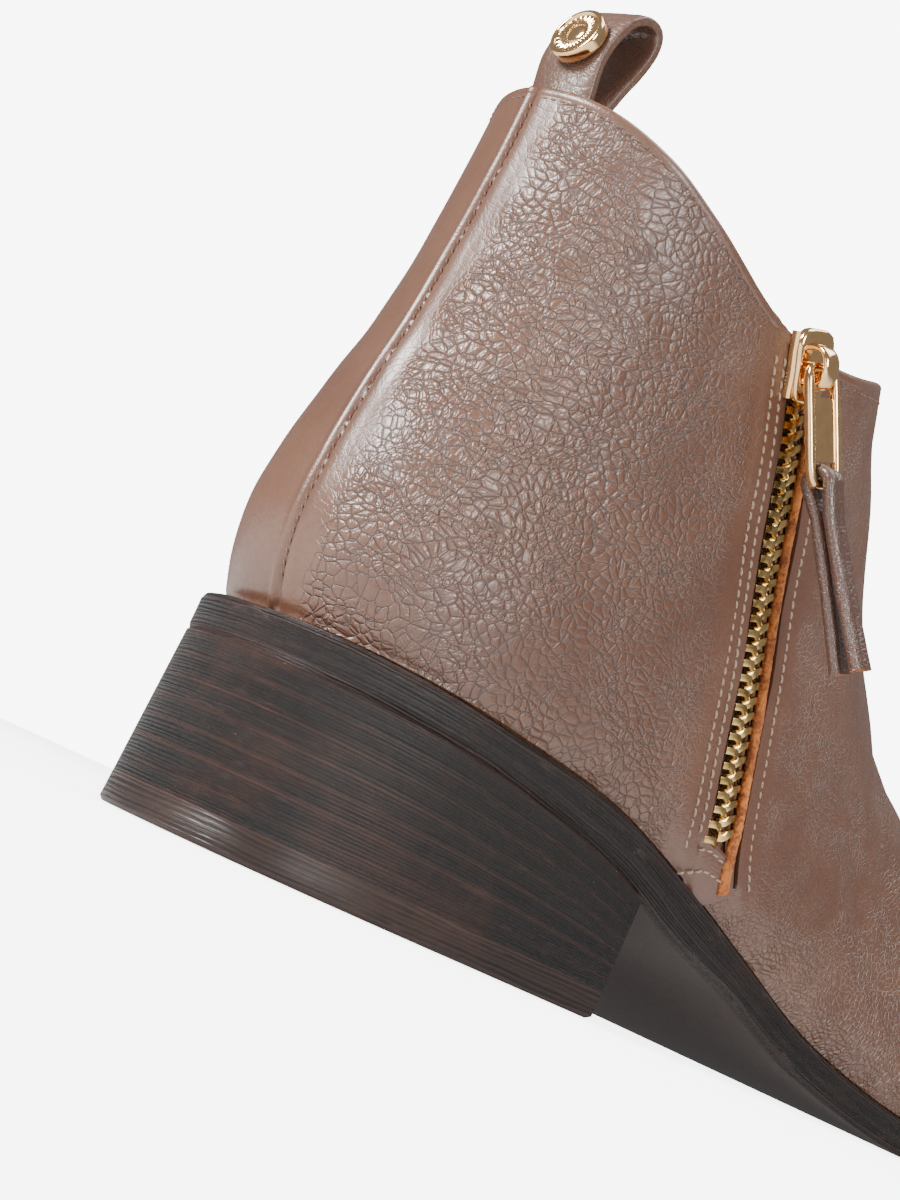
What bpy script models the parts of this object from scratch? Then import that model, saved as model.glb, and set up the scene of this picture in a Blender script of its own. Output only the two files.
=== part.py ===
"""A left ankle boot with a side zip, standing on its low block heel.

Sizes are in millimetres and become metres as each mesh is made. A station is a distance forward
from the back edge of the heel. X points to the wearer's right, which is the inner (medial) side of
this left boot, Y points to the toe and Z up. The floor is Z = 0, and the world's origin is the
middle of the heel's flat foot.
"""

import math
from typing import NamedTuple

import bmesh
import bpy
import numpy as np
from mathutils import Matrix, Vector

MM = 0.001
GAP = 0.3

# Sole, heel and lift
SOLE_LENGTH = 264.0
SOLE_STATIONS = 40
HEEL_ROUND = 41.0
HEEL_POWER = 2.5
TOE_ROUND = 182.0
TOE_POWER = 2.0
TOE_TAPER = 0.60
TOE_SWING = 7.0
SWING_FROM = 110.0
LIFT_THICK = 5.0
HEEL_FLARE = 1.8
BREAST_STATION = 72.7
BREAST_HOLLOW = 5.0
HEEL_STATIONS = 18
LIFT_CENTRE = 36.0

# Upper
WALL = 2.2
FEATHER_INSET = 1.6
COLLAR_BACK = 125.5
COLLAR_FRONT_STATION = 101.5
COLLAR_DIP = 12.8
DIP_POWER = 1.44
COUNTER_BULGE = 1.7
BULGE_HEIGHT = 12.0
NOSE_FROM = 224.0
NOSE_POWER = 3.0
NOSE_TAPER = 0.38
RINGS = 24
ROUND = 56

INSOLE_THICK = 2.6
INSOLE_EASE = 3.0

# Zip
ZIP_PITCH = 2.2
CHAIN_HALF = 2.8
CHAIN_PROUD = 0.5
NOTCH = 0.8
SLOT_BACK = -3.3
SLOT_FRONT = 5.6
EDGE_FROM = 3.3
EDGE_PROUD = 0.5
TAPE_HALF = 9.0
TAPE_FOOT = 33.5
TAPE_THICK = 0.8
TAPE_TOP = 106.0
CHAIN_FOOT = 34.0
SLIDER_HEIGHT = 107.4
SLIDER_LENGTH = 12.0
PLATE_LOW = 0.9
PLATE_HIGH = 2.3
PULL_AXIS = 3.7
PULL_LENGTH = 19.0
PULL_HALF = 4.1
PULL_BAR = 1.5
PULL_DEPTH = 1.6
PULL_REST_DEG = 15.0
WEB_THICK = 0.7
WEB_FROM = 4.6
WEB_TO = 14.7
TASSEL_LEG = 29.8
TASSEL_WIDTH = 4.8
TASSEL_THICK = 2.2
TASSEL_LEAN = 0.16

# Back loop and stud
LOOP_WIDTH = 13.0
LOOP_THICK = 1.6
LOOP_BOW = 1.7
STUD_RADIUS = 4.7
STUD_THICK = 2.3
STUD_X = 1.2
STUD_RISE = 10.0


class PlanRow(NamedTuple):
    """One station of the sole's edge: half-widths before its ends are rounded, height and thickness."""

    station: float
    medial: float
    lateral: float
    top: float
    thick: float


SOLE_PLAN = (
    PlanRow(0, 28.6, 30.4, 35.5, 6.5),
    PlanRow(32, 28.2, 29.8, 33.9, 6.5),
    PlanRow(62, 28.9, 32.0, 31.2, 7.8),
    PlanRow(88, 30.4, 32.8, 24.0, 8.2),
    PlanRow(104, 30.4, 34.0, 19.1, 6.9),
    PlanRow(126, 32.8, 38.0, 11.5, 6.1),
    PlanRow(150, 38.8, 43.6, 6.4, 5.8),
    PlanRow(176, 44.0, 47.5, 5.4, 5.8),
    PlanRow(204, 46.5, 46.0, 5.9, 5.6),
    PlanRow(236, 47.0, 44.0, 9.0, 5.5),
    PlanRow(264, 47.0, 42.0, 14.0, 5.5),
)


class LegRow(NamedTuple):
    """One height of heel and shaft: the back's station, and half-widths across the leg."""

    height: float
    back: float
    medial: float
    lateral: float
    power: float


LEG = (
    LegRow(35.5, 4.4, 28.1, 31.2, 2.5),
    LegRow(43.0, 1.2, 28.8, 32.0, 2.45),
    LegRow(51.0, -0.4, 29.2, 32.2, 2.4),
    LegRow(60.0, 0.1, 29.0, 31.5, 2.35),
    LegRow(72.0, 2.1, 28.4, 29.8, 2.3),
    LegRow(85.0, 5.0, 28.0, 27.9, 2.25),
    LegRow(98.0, 6.8, 28.0, 26.6, 2.2),
    LegRow(112.0, 7.4, 28.2, 26.0, 2.15),
    LegRow(130.0, 8.0, 28.6, 25.7, 2.1),
)
LEG_ROUND = 48.0


class RidgeRow(NamedTuple):
    """One station of the vamp and instep: the ridge's height, and the arch's two powers."""

    station: float
    height: float
    steep: float
    crown: float


RIDGE = (
    RidgeRow(40, 660, 2.2, 2.0),
    RidgeRow(60, 400, 2.2, 2.0),
    RidgeRow(80, 186, 2.15, 2.0),
    RidgeRow(92, 138, 2.05, 2.0),
    RidgeRow(104, 115.5, 2.05, 1.95),
    RidgeRow(118, 93, 1.85, 1.9),
    RidgeRow(136, 72.5, 1.68, 1.85),
    RidgeRow(156, 59.5, 1.78, 1.85),
    RidgeRow(178, 50, 2.0, 1.9),
    RidgeRow(202, 44, 2.25, 2.0),
    RidgeRow(228, 39, 2.4, 2.1),
    RidgeRow(264, 34, 2.4, 2.1),
)


class ZipRow(NamedTuple):
    """One height of the zip's middle line on the medial side."""

    height: float
    station: float


ZIP_LINE = (
    ZipRow(22, 90.7),
    ZipRow(30, 85.4),
    ZipRow(43, 81.1),
    ZipRow(55, 77.6),
    ZipRow(71, 72.2),
    ZipRow(90, 65.4),
    ZipRow(107, 58.4),
    ZipRow(118, 54.4),
)


class Finish(NamedTuple):
    """Colour, roughness and metallic value of a material."""

    colour: tuple
    roughness: float
    metallic: float = 0.0


LEATHER = Finish((0.165, 0.092, 0.062), 0.42)
SOLE_BROWN = Finish((0.045, 0.028, 0.022), 0.5)
TAN_EDGE = Finish((0.42, 0.17, 0.06), 0.8)
TAPE_BROWN = Finish((0.07, 0.04, 0.028), 0.85)
LINING_TAN = Finish((0.36, 0.24, 0.15), 0.7)
GOLD = Finish((0.86, 0.62, 0.36), 0.18, 1.0)
ANTIQUE_BRASS = Finish((0.42, 0.29, 0.12), 0.38, 1.0)


def through(x, rows, column, key=0):
    """A smooth curve through one column of a table, read at x: cubic spans whose slopes are averaged."""
    xs = np.array([row[key] for row in rows], float)
    ys = np.array([getattr(row, column) for row in rows], float)
    span = np.diff(xs)
    chord = np.diff(ys) / span
    slope = np.concatenate([chord[:1], (chord[:-1] * span[1:] + chord[1:] * span[:-1]) / (span[:-1] + span[1:]), chord[-1:]])
    i = np.clip(np.searchsorted(xs, x) - 1, 0, len(span) - 1)
    t = (np.clip(x, xs[0], xs[-1]) - xs[i]) / span[i]
    flat = (1 + 2 * t) * (1 - t) ** 2 * ys[i] + t * t * (3 - 2 * t) * ys[i + 1]
    return flat + span[i] * (t * (1 - t) ** 2 * slope[i] - t * t * (1 - t) * slope[i + 1])


def ease(t):
    """0 before 0, 1 after 1, and smooth between."""
    t = np.clip(t, 0, 1)
    return t * t * (3 - 2 * t)


def swing(station):
    """How far the sole's axis has bent towards the medial side."""
    return TOE_SWING * np.clip((station - SWING_FROM) / (SOLE_LENGTH - SWING_FROM), 0, 1) ** 2


def toe_close(station, length):
    """1 at the ball and 0 at the toe's tip, along an almond outline."""
    t = np.clip((station - TOE_ROUND) / (length - TOE_ROUND), 0, 1)
    return (1 - t**TOE_POWER) ** TOE_TAPER


def back_close(station, back, full, power):
    """0 at the back and 1 from the station where the width is full, along a superellipse."""
    t = np.clip((full - station) / (full - back), 0, 1)
    return (1 - t**power) ** (1 / power)


def sole_top(station):
    return through(station, SOLE_PLAN, "top")


def sole_bottom(station):
    """The sole's underside: one flat spot at the ball, rising to the heel seat and the toe."""
    return np.maximum(sole_top(station) - through(station, SOLE_PLAN, "thick"), 0.0)


def sole_edge(station, side):
    """Half-width of the sole at a station. side is medial or lateral."""
    ends = back_close(station, 0, HEEL_ROUND, HEEL_POWER) * toe_close(station, SOLE_LENGTH)
    return through(station, SOLE_PLAN, side) * ends


def ridge(station):
    """Height of the upper's top line, from above the shaft's front down to the toe's nose."""
    tip = SOLE_LENGTH - FEATHER_INSET
    t = np.clip((station - NOSE_FROM) / (tip - NOSE_FROM), 0, 1)
    base = sole_top(station)
    return base + (through(station, RIDGE, "height") - base) * (1 - t**NOSE_POWER) ** NOSE_TAPER


def upper_half(station, height, side):
    """Half-width of the upper at a point of its profile: a plan width, closed at back, ridge and toe."""
    base = sole_top(station)
    rise = np.maximum(height - base, 0)
    foot = through(station, SOLE_PLAN, side) - FEATHER_INSET
    foot = foot + COUNTER_BULGE * rise / BULGE_HEIGHT * np.exp(1 - rise / BULGE_HEIGHT)
    leg = through(height, LEG, side)
    to_leg = np.maximum(ease(rise / 45), ease((45 - station) / 20)) * (1 - ease((station - 88) / 62))
    width = foot + (leg - foot) * to_leg
    t = np.clip(rise / np.maximum(ridge(station) - base, 1e-6), 0, 1)
    arch = (1 - t ** through(station, RIDGE, "steep")) ** (1 / through(station, RIDGE, "crown"))
    heel = back_close(station, through(height, LEG, "back"), LEG_ROUND, through(height, LEG, "power"))
    return width * arch * heel * toe_close(station, SOLE_LENGTH - FEATHER_INSET)


def even(line, count):
    """The fractions of a line's parameter at which count points lie at even distances along it."""
    fine = np.linspace(0, 1, 1500)
    run = np.concatenate([[0], np.cumsum(np.linalg.norm(np.diff(line(fine), axis=0), axis=1))])
    return np.interp(np.linspace(0, run[-1], count), run, fine)


def front_line(t):
    """The upper's ridge from the toe's tip, t = 0, to the front of the collar, t = 1."""
    tip = SOLE_LENGTH - FEATHER_INSET
    turn = 1 - (1 - t) ** 2
    station = tip + (COLLAR_FRONT_STATION - tip) * (0.35 * t * t + 0.65 * turn * t)
    return np.stack([station, ridge(station)], -1)


def back_line(t):
    """The back seam from the sole, t = 0, to the collar, t = 1."""
    height = sole_top(0.0) + (COLLAR_BACK - sole_top(0.0)) * t
    return np.stack([through(height, LEG, "back"), height], -1)


def upper_rings():
    """Points of the upper's outer face, ring by ring from the sole's edge to the collar."""
    front = front_line(even(front_line, RINGS))
    back = back_line(even(back_line, RINGS))
    turn = np.linspace(0, 2 * np.pi, ROUND, endpoint=False)
    along = (1 - np.cos(turn)) / 2
    rings = []
    for i in range(RINGS):
        up = i / (RINGS - 1)
        station = back[i, 0] + (front[i, 0] - back[i, 0]) * along
        lift = (back[i, 1] - sole_top(back[i, 0])) * (1 - along) + (front[i, 1] - sole_top(front[i, 0])) * along
        line = back[i, 1] * (1 - along) + front[i, 1] * along
        line = line - COLLAR_DIP * up**3 * np.sin(np.pi * along) ** DIP_POWER
        height = (sole_top(station) + lift) * (1 - up * up) + line * up * up
        medial = upper_half(station, height, "medial")
        lateral = upper_half(station, height, "lateral")
        x = np.where(turn <= np.pi, medial, -lateral) + swing(station)
        rings.append(np.stack([x, station, height], -1))
    return np.array(rings)


def inward(rings):
    """The rings moved inwards by the wall's thickness, along the face's normals."""
    around = np.roll(rings, -1, axis=1) - np.roll(rings, 1, axis=1)
    upwards = np.gradient(rings, axis=0)
    normal = np.cross(around, upwards)
    normal /= np.linalg.norm(normal, axis=-1, keepdims=True)
    inner = rings - normal * WALL
    inner[0, :, 2] = rings[0, :, 2]
    inner[-1, :, 2] = rings[-1, :, 2]
    return inner


def side_point(station, height, depth):
    """A point on the medial face, moved inwards by a depth along the face's normal."""
    step = 0.5

    def face(s, h):
        return np.stack([upper_half(s, h, "medial") + swing(s), s, h], -1)

    along = face(station + step, height) - face(station - step, height)
    upwards = face(station, height + step) - face(station, height - step)
    normal = np.cross(along, upwards)
    normal /= np.linalg.norm(normal, axis=-1, keepdims=True)
    return face(station, height) - normal * np.asarray(depth)[..., None], normal


def zip_station(height):
    return through(height, ZIP_LINE, "station")


def zip_across(height, offset):
    """Station and height of a point beside the zip's line, offset towards the toe within the side view."""
    slope = (zip_station(height + 0.5) - zip_station(height - 0.5))
    length = np.hypot(slope, 1.0)
    return zip_station(height) + offset / length, height - offset * slope / length


def make(name, points, faces, finish, parent, flat=False, split=False):
    """An object from millimetre points and faces, with its doubles joined. split makes its faces triangles."""
    mesh = bpy.data.meshes.new(name)
    mesh.from_pydata((np.asarray(points, float) * MM).tolist(), [], [list(map(int, f)) for f in faces])
    bm = bmesh.new()
    bm.from_mesh(mesh)
    bmesh.ops.remove_doubles(bm, verts=bm.verts, dist=2e-6)
    bmesh.ops.dissolve_degenerate(bm, edges=bm.edges, dist=2e-6)
    if split:
        bmesh.ops.triangulate(bm, faces=bm.faces)
    bmesh.ops.recalc_face_normals(bm, faces=bm.faces)
    bm.to_mesh(mesh)
    bm.free()
    if not flat:
        mesh.shade_smooth()
        mesh.set_sharp_from_angle(angle=math.radians(35))
    thing = bpy.data.objects.new(name, mesh)
    bpy.context.scene.collection.objects.link(thing)
    if finish:
        thing.data.materials.append(material(finish))
    thing.parent = parent
    return thing


def material(finish):
    """The material for a finish, made once."""
    name = next(key for key, value in globals().items() if value is finish).lower()
    made = bpy.data.materials.get(name)
    if made is None:
        made = bpy.data.materials.new(name)
        made.use_nodes = True
        shader = made.node_tree.nodes["Principled BSDF"]
        shader.inputs["Base Color"].default_value = (*finish.colour, 1)
        shader.inputs["Roughness"].default_value = finish.roughness
        shader.inputs["Metallic"].default_value = finish.metallic
    return made


def grid_faces(rows, columns, start=0, wrap=False):
    """Quads of a grid of points stored row by row, joined round its columns if wrap is set."""
    across = columns if wrap else columns - 1
    faces = []
    for i in range(rows - 1):
        for j in range(across):
            k = (j + 1) % columns
            faces.append([start + i * columns + j, start + i * columns + k, start + (i + 1) * columns + k, start + (i + 1) * columns + j])
    return faces


def block(name, sections, finish, parent, flat=False):
    """A closed solid through equal closed sections, each an array of points, with flat ends."""
    sections = np.asarray(sections, float)
    count, size = sections.shape[:2]
    faces = grid_faces(count, size, wrap=True)
    faces.append(list(range(size)))
    faces.append([(count - 1) * size + i for i in range(size)])
    return make(name, sections.reshape(-1, 3), faces, finish, parent, flat)


def slab(name, levels, finish, parent, split=False):
    """A closed solid from a lowest grid, edge-only levels and a highest grid, all of one shape."""
    grids = [np.asarray(level, float) for level in levels]
    rows, columns = grids[0].shape[:2]
    rim = [(i, 0) for i in range(rows)] + [(rows - 1, j) for j in range(1, columns)]
    rim += [(i, columns - 1) for i in range(rows - 2, -1, -1)] + [(0, j) for j in range(columns - 2, 0, -1)]
    points = [grids[0].reshape(-1, 3), grids[-1].reshape(-1, 3)]
    faces = grid_faces(rows, columns) + grid_faces(rows, columns, rows * columns)
    loops = [[i * columns + j for i, j in rim]]
    start = 2 * rows * columns
    for grid in grids[1:-1]:
        points.append(np.array([grid[i, j] for i, j in rim]))
        loops.append(list(range(start, start + len(rim))))
        start += len(rim)
    loops.append([rows * columns + i * columns + j for i, j in rim])
    for low, high in zip(loops[:-1], loops[1:]):
        for a in range(len(rim)):
            b = (a + 1) % len(rim)
            faces.append([low[a], low[b], high[b], high[a]])
    return make(name, np.concatenate(points), faces, finish, parent, split=split)


def plan_grid(last_station, inset, stations, across, hollow=0.0, back=0.0):
    """A grid over the sole's plan from a back edge to a last station, drawn in by an inset."""
    first = back + inset
    end = last_station - inset
    along = (1 - np.cos(np.linspace(0, np.pi, stations))) / 2
    if last_station < SOLE_LENGTH:
        along = 1 - np.cos(np.linspace(0, np.pi / 2, stations))
    width = np.linspace(-1, 1, across)
    edge = first + (end - first) * along
    reach = SOLE_LENGTH if last_station < SOLE_LENGTH else SOLE_LENGTH - inset
    ends = back_close(edge, first, HEEL_ROUND, HEEL_POWER) * toe_close(edge, reach)
    medial = (through(edge, SOLE_PLAN, "medial") - inset) * ends
    lateral = (through(edge, SOLE_PLAN, "lateral") - inset) * ends
    x = np.where(width[None, :] >= 0, width[None, :] * medial[:, None], width[None, :] * lateral[:, None])
    station = edge[:, None] - hollow * along[:, None] ** 3 * (1 - width[None, :] ** 2)
    return x + swing(edge)[:, None], station


def with_height(plan, height):
    x, station = plan
    return np.stack([x, station, np.broadcast_to(height, x.shape)], -1)


def make_outsole(parent):
    """The sole's plate: heel seat, arch, flat tread and toe spring, with a rolled top edge and a drawn-in foot."""
    across = 7
    top = plan_grid(SOLE_LENGTH, 1.2, SOLE_STATIONS, across)
    edge = plan_grid(SOLE_LENGTH, 0.0, SOLE_STATIONS, across)
    foot = plan_grid(SOLE_LENGTH, 0.4, SOLE_STATIONS, across)
    tuck = 2.4 * ease((foot[1] - 62) / 26) * (1 - ease((foot[1] - 120) / 45))
    drawn = (foot[0] - np.sign(foot[0]) * tuck * np.abs(np.linspace(-1, 1, across)), foot[1])
    levels = [
        with_height(drawn, sole_bottom(drawn[1])),
        with_height(edge, sole_bottom(edge[1]) + 1.2),
        with_height(edge, sole_top(edge[1]) - 1.2),
        with_height(top, sole_top(top[1])),
    ]
    return slab("outsole", levels, SOLE_BROWN, parent)


def heel_back(height):
    """How far the heel's back edge has flared at a height under the seat."""
    return -HEEL_FLARE * (1 - height / sole_bottom(0.0))


def make_heel_block(parent):
    """The stacked heel between sole and lift, with a hollowed breast."""
    plan = plan_grid(BREAST_STATION, 0.0, HEEL_STATIONS, 7, BREAST_HOLLOW)
    foot = plan_grid(BREAST_STATION, 0.0, HEEL_STATIONS, 7, BREAST_HOLLOW, heel_back(LIFT_THICK))
    levels = [with_height(foot, LIFT_THICK + GAP), with_height(plan, sole_bottom(plan[1]) - GAP)]
    return slab("heel_block", levels, SOLE_BROWN, parent)


def make_top_lift(parent):
    """The heel's wearing piece, flat on the floor, with a slightly broken lower edge."""
    top = plan_grid(BREAST_STATION, 0.0, HEEL_STATIONS, 7, BREAST_HOLLOW, heel_back(LIFT_THICK))
    plan = plan_grid(BREAST_STATION, 0.0, HEEL_STATIONS, 7, BREAST_HOLLOW, -HEEL_FLARE)
    foot = plan_grid(BREAST_STATION - 0.3, 0.5, HEEL_STATIONS, 7, BREAST_HOLLOW, -HEEL_FLARE)
    levels = [with_height(foot, 0.0), with_height(plan, 0.6), with_height(top, LIFT_THICK)]
    return slab("top_lift", levels, SOLE_BROWN, parent)


def make_insole(parent):
    """The sock inside the boot, lying on the sole within the upper's wall."""
    inset = FEATHER_INSET + WALL + INSOLE_EASE
    plan = plan_grid(SOLE_LENGTH, inset, SOLE_STATIONS - 10, 5)
    low = sole_top(plan[1]) + GAP
    levels = [with_height(plan, low), with_height(plan, low + INSOLE_THICK)]
    return slab("insole", levels, LINING_TAN, parent)


def make_upper(parent):
    """The hollow upper, open at the collar and underneath, with the zip's slot cut through its wall."""
    outer = upper_rings()
    outer[0, :, 2] += GAP
    inner = inward(outer)
    points = np.concatenate([outer.reshape(-1, 3), inner.reshape(-1, 3)])
    shift = RINGS * ROUND
    faces = grid_faces(RINGS, ROUND, wrap=True) + grid_faces(RINGS, ROUND, shift, wrap=True)
    for ring in (0, (RINGS - 1) * ROUND):
        for j in range(ROUND):
            k = (j + 1) % ROUND
            faces.append([ring + j, ring + k, shift + ring + k, shift + ring + j])
    upper = make("upper", points, faces, LEATHER, parent, split=True)
    slot = zip_strip("slot_cutter", CHAIN_FOOT - 1.5, 124, SLOT_BACK, SLOT_FRONT, -4, WALL + 5, None, parent, columns=2, split=True)
    slot.hide_render = True
    slot.display_type = "WIRE"
    cut = upper.modifiers.new("zip_slot", "BOOLEAN")
    cut.operation = "DIFFERENCE"
    cut.object = slot
    return upper


def zip_strip(name, low, high, back, front, outer, deep, finish, parent, rows=22, columns=4, split=False):
    """A strip that follows the upper's medial side along the zip, between two depths under its face."""
    height = np.linspace(low, high, rows)[:, None]
    offset = np.linspace(back, front, columns)[None, :]
    station, level = zip_across(height, offset)
    levels = [side_point(station, level, depth * np.ones_like(station))[0] for depth in (deep, outer)]
    return slab(name, levels, finish, parent, split)


def make_zip_chain(parent):
    """The closed chain of teeth as one notched bar: each tooth is a step out, and the sides alternate."""
    count = int((SLIDER_HEIGHT - CHAIN_FOOT) / ZIP_PITCH)
    sections = []
    for i in range(2 * count + 1):
        height = CHAIN_FOOT + i * ZIP_PITCH / 2
        wide = (CHAIN_HALF, CHAIN_HALF - NOTCH)[i % 2]
        for end in (0.12, 0.88):
            here = height + end * ZIP_PITCH / 2
            sections.append(chain_section(here, wide))
    return block("zip_chain", sections, ANTIQUE_BRASS, parent, flat=True)


def chain_section(height, half):
    """One rectangular cross-section of the chain, between the tape and just above the leather's face."""
    offsets = np.array([-half, half, half, -half])
    depths = np.array([WALL, WALL, -CHAIN_PROUD, -CHAIN_PROUD])
    station, level = zip_across(np.full(4, height), offsets)
    return side_point(station, level, depths)[0]


def slider_frame(parent):
    """An empty at the slider: its X runs across the zip towards the toe, Y along it upwards, Z out of the boot."""
    height = SLIDER_HEIGHT
    origin, normal = side_point(zip_station(np.array(height)), np.array(height), 0.0)
    above, _ = side_point(zip_station(np.array(height + 1)), np.array(height + 1.0), 0.0)
    out = Vector(normal)
    up = (Vector(above) - Vector(origin)).normalized()
    across = up.cross(out).normalized()
    out = across.cross(up).normalized()
    turned = Matrix((across, up, out)).transposed().to_4x4()
    empty = bpy.data.objects.new("slider_frame", None)
    bpy.context.scene.collection.objects.link(empty)
    empty.parent = parent
    empty.matrix_local = Matrix.Translation(Vector(origin) * MM) @ turned
    return empty


def slider_outline(level, shrink):
    """The shield outline of the slider's plate at a level: broad shoulders at the top, narrower below."""
    half, low, high = 4.5 - shrink, -SLIDER_LENGTH / 2 + shrink, SLIDER_LENGTH / 2 - shrink
    corners = ((-half * 0.72, low), (half * 0.72, low), (half * 0.86, low * 0.3), (half, high * 0.35),
               (half * 0.9, high * 0.85), (half * 0.45, high), (-half * 0.45, high), (-half * 0.9, high * 0.85),
               (-half, high * 0.35), (-half * 0.86, low * 0.3))
    return [(x, y, level) for x, y in corners]


def make_slider(frame):
    """The slider's outer plate and the bridge along it that holds the pull."""
    plate = block("zip_slider", [slider_outline(PLATE_LOW, 0), slider_outline(PLATE_HIGH - 0.4, 0), slider_outline(PLATE_HIGH, 0.4)], GOLD, frame)
    reach, under, over, half = 3.6, PULL_AXIS + 1.1, PULL_AXIS + 2.3, 1.5
    sections = []
    for angle in np.linspace(0, np.pi, 13):
        c, s = math.cos(angle), math.sin(angle)
        bulge = s**0.6
        sections.append([
            (-half, reach * c, PLATE_HIGH - 0.4 + (over - PLATE_HIGH + 0.4) * bulge),
            (half, reach * c, PLATE_HIGH - 0.4 + (over - PLATE_HIGH + 0.4) * bulge),
            (half, (reach - 1.2) * c, PLATE_HIGH - 0.4 + (under - PLATE_HIGH + 0.4) * bulge),
            (-half, (reach - 1.2) * c, PLATE_HIGH - 0.4 + (under - PLATE_HIGH + 0.4) * bulge),
        ])
    bridge = block("slider_bridge", sections, GOLD, frame)
    bridge.hide_render = True
    bridge.display_type = "WIRE"
    join = plate.modifiers.new("bridge", "BOOLEAN")
    join.operation = "UNION"
    join.object = bridge
    return plate


def bar(centre_from, centre_to, wide, deep):
    """A straight bar with four chamfered corners, as two sections, between two points of a plane z = 0."""
    start, end = np.array(centre_from, float), np.array(centre_to, float)
    along = (end - start) / np.linalg.norm(end - start)
    side = np.array([-along[1], along[0], 0.0])
    out = np.array([0.0, 0.0, 1.0])
    cut = 0.3 * min(wide, deep)
    ring = [(wide / 2, deep / 2 - cut), (wide / 2 - cut, deep / 2), (-wide / 2 + cut, deep / 2), (-wide / 2, deep / 2 - cut),
            (-wide / 2, -deep / 2 + cut), (-wide / 2 + cut, -deep / 2), (wide / 2 - cut, -deep / 2), (wide / 2, -deep / 2 + cut)]
    return [[end_point + side * a + out * b for a, b in ring] for end_point in (start, end)]


def make_pull(hinge):
    """The pull: an oblong frame with a thin web, whose top bar turns under the slider's bridge."""
    middle = PULL_HALF - PULL_BAR / 2
    spans = {
        "pull_top": ((-middle, 0, 0), (middle, 0, 0), 1.3, 1.3),
        "pull_left": ((-middle, PULL_BAR / 2, 0), (-middle, -PULL_LENGTH, 0), PULL_BAR, PULL_DEPTH),
        "pull_right": ((middle, PULL_BAR / 2, 0), (middle, -PULL_LENGTH, 0), PULL_BAR, PULL_DEPTH),
        "pull_foot": ((-middle, -PULL_LENGTH + 0.75, 0), (middle, -PULL_LENGTH + 0.75, 0), 1.3, 1.3),
    }
    pieces = [block(name, bar(*span), GOLD, hinge) for name, span in spans.items()]
    web = (0, -WEB_FROM, 0), (0, -WEB_TO, 0), 2 * PULL_HALF - PULL_BAR, WEB_THICK
    pieces.append(block("pull_web", bar(*web), GOLD, hinge))
    pull = pieces.pop(1)
    pull.name = "zip_pull"
    for piece in pieces:
        piece.hide_render = True
        piece.display_type = "WIRE"
        join = pull.modifiers.new(piece.name, "BOOLEAN")
        join.operation = "UNION"
        join.object = piece
    return pull


def tassel_leg(side):
    """One leg of the leather tab, from just under the pull's foot to its end: along and out."""
    t = np.linspace(0.16, 1, 9)
    apart = TASSEL_THICK / 2 + GAP / 2 + 0.75 * ease((0.2 - t) / 0.2) + 0.7 * t**3
    along = -PULL_LENGTH + 0.75 - t * (TASSEL_LEG - 0.6 * (side > 0))
    return np.stack([along, side * apart + TASSEL_LEAN * TASSEL_LEG * t], -1)


def make_tassel(hinge):
    """The leather tab: a padded strip folded over the pull's foot, its two ends hanging together."""
    bend = 0.65 + GAP + TASSEL_THICK / 2 + 0.1
    turn = np.linspace(-0.35, np.pi + 0.35, 10)
    fold = np.stack([-PULL_LENGTH + 0.75 + bend * np.sin(turn), bend * np.cos(turn)], -1)
    path = np.concatenate([tassel_leg(1)[::-1], fold, tassel_leg(-1)])
    heading = np.gradient(path, axis=0)
    heading /= np.linalg.norm(heading, axis=1, keepdims=True)
    sections = []
    for (along, out), (da, do) in zip(path, heading):
        around = np.linspace(0, 2 * np.pi, 10, endpoint=False)
        wide, deep = TASSEL_WIDTH / 2 * np.cos(around), TASSEL_THICK / 2 * np.sin(around)
        sections.append(np.stack([wide, along - deep * do, out + deep * da], -1))
    return block("pull_tassel", sections, LEATHER, hinge)


def loop_path():
    """Middle line of the back loop in the side view: up from inside the collar, over, and down beside itself."""
    back = through(COLLAR_BACK, LEG, "back") + WALL + GAP + LOOP_THICK / 2
    rim = COLLAR_BACK
    knots = ((0.0, -9.0), (0.0, -4.0), (0.1, 0.5), (0.2, 4.0), (0.6, 9.5), (2.1, 14.0), (4.0, 16.6), (6.6, 17.9),
             (9.0, 17.2), (9.6, 14.2), (8.2, 9.0), (6.0, 4.6), (3.8, 0.8), (2.6, -2.8), (2.3, -7.0))
    points = np.array([(back + y, rim + z) for y, z in knots])
    fine = np.linspace(0, len(points) - 1, 30)
    at = np.arange(len(points), dtype=float)
    table = [KnotRow(a, *p) for a, p in zip(at, points)]
    return np.stack([through(fine, table, "station"), through(fine, table, "height")], -1)


class KnotRow(NamedTuple):
    """One point of a hand-drawn line: its number, station and height."""

    number: float
    station: float
    height: float


def make_loop(parent):
    """The pull loop: a leather strip bent over, both ends tucked inside the back of the collar."""
    path = loop_path()
    heading = np.gradient(path, axis=0)
    heading /= np.linalg.norm(heading, axis=1, keepdims=True)
    side = np.stack([-heading[:, 1], heading[:, 0]], -1) * LOOP_THICK / 2
    across = np.linspace(-1, 1, 5)
    sections = []
    for (station, height), (ds, dh) in zip(path, side):
        bow = LOOP_BOW * (1 - 0.8 * ease((height - COLLAR_BACK) / 8)) * across**2
        x = across * LOOP_WIDTH / 2
        outer = np.stack([x, station - ds + bow, np.full(5, height - dh)], -1)
        inner = np.stack([x, station + ds + bow, np.full(5, height + dh)], -1)
        sections.append(np.concatenate([outer, inner[::-1]]))
    return block("pull_loop", sections, LEATHER, parent)


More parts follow.
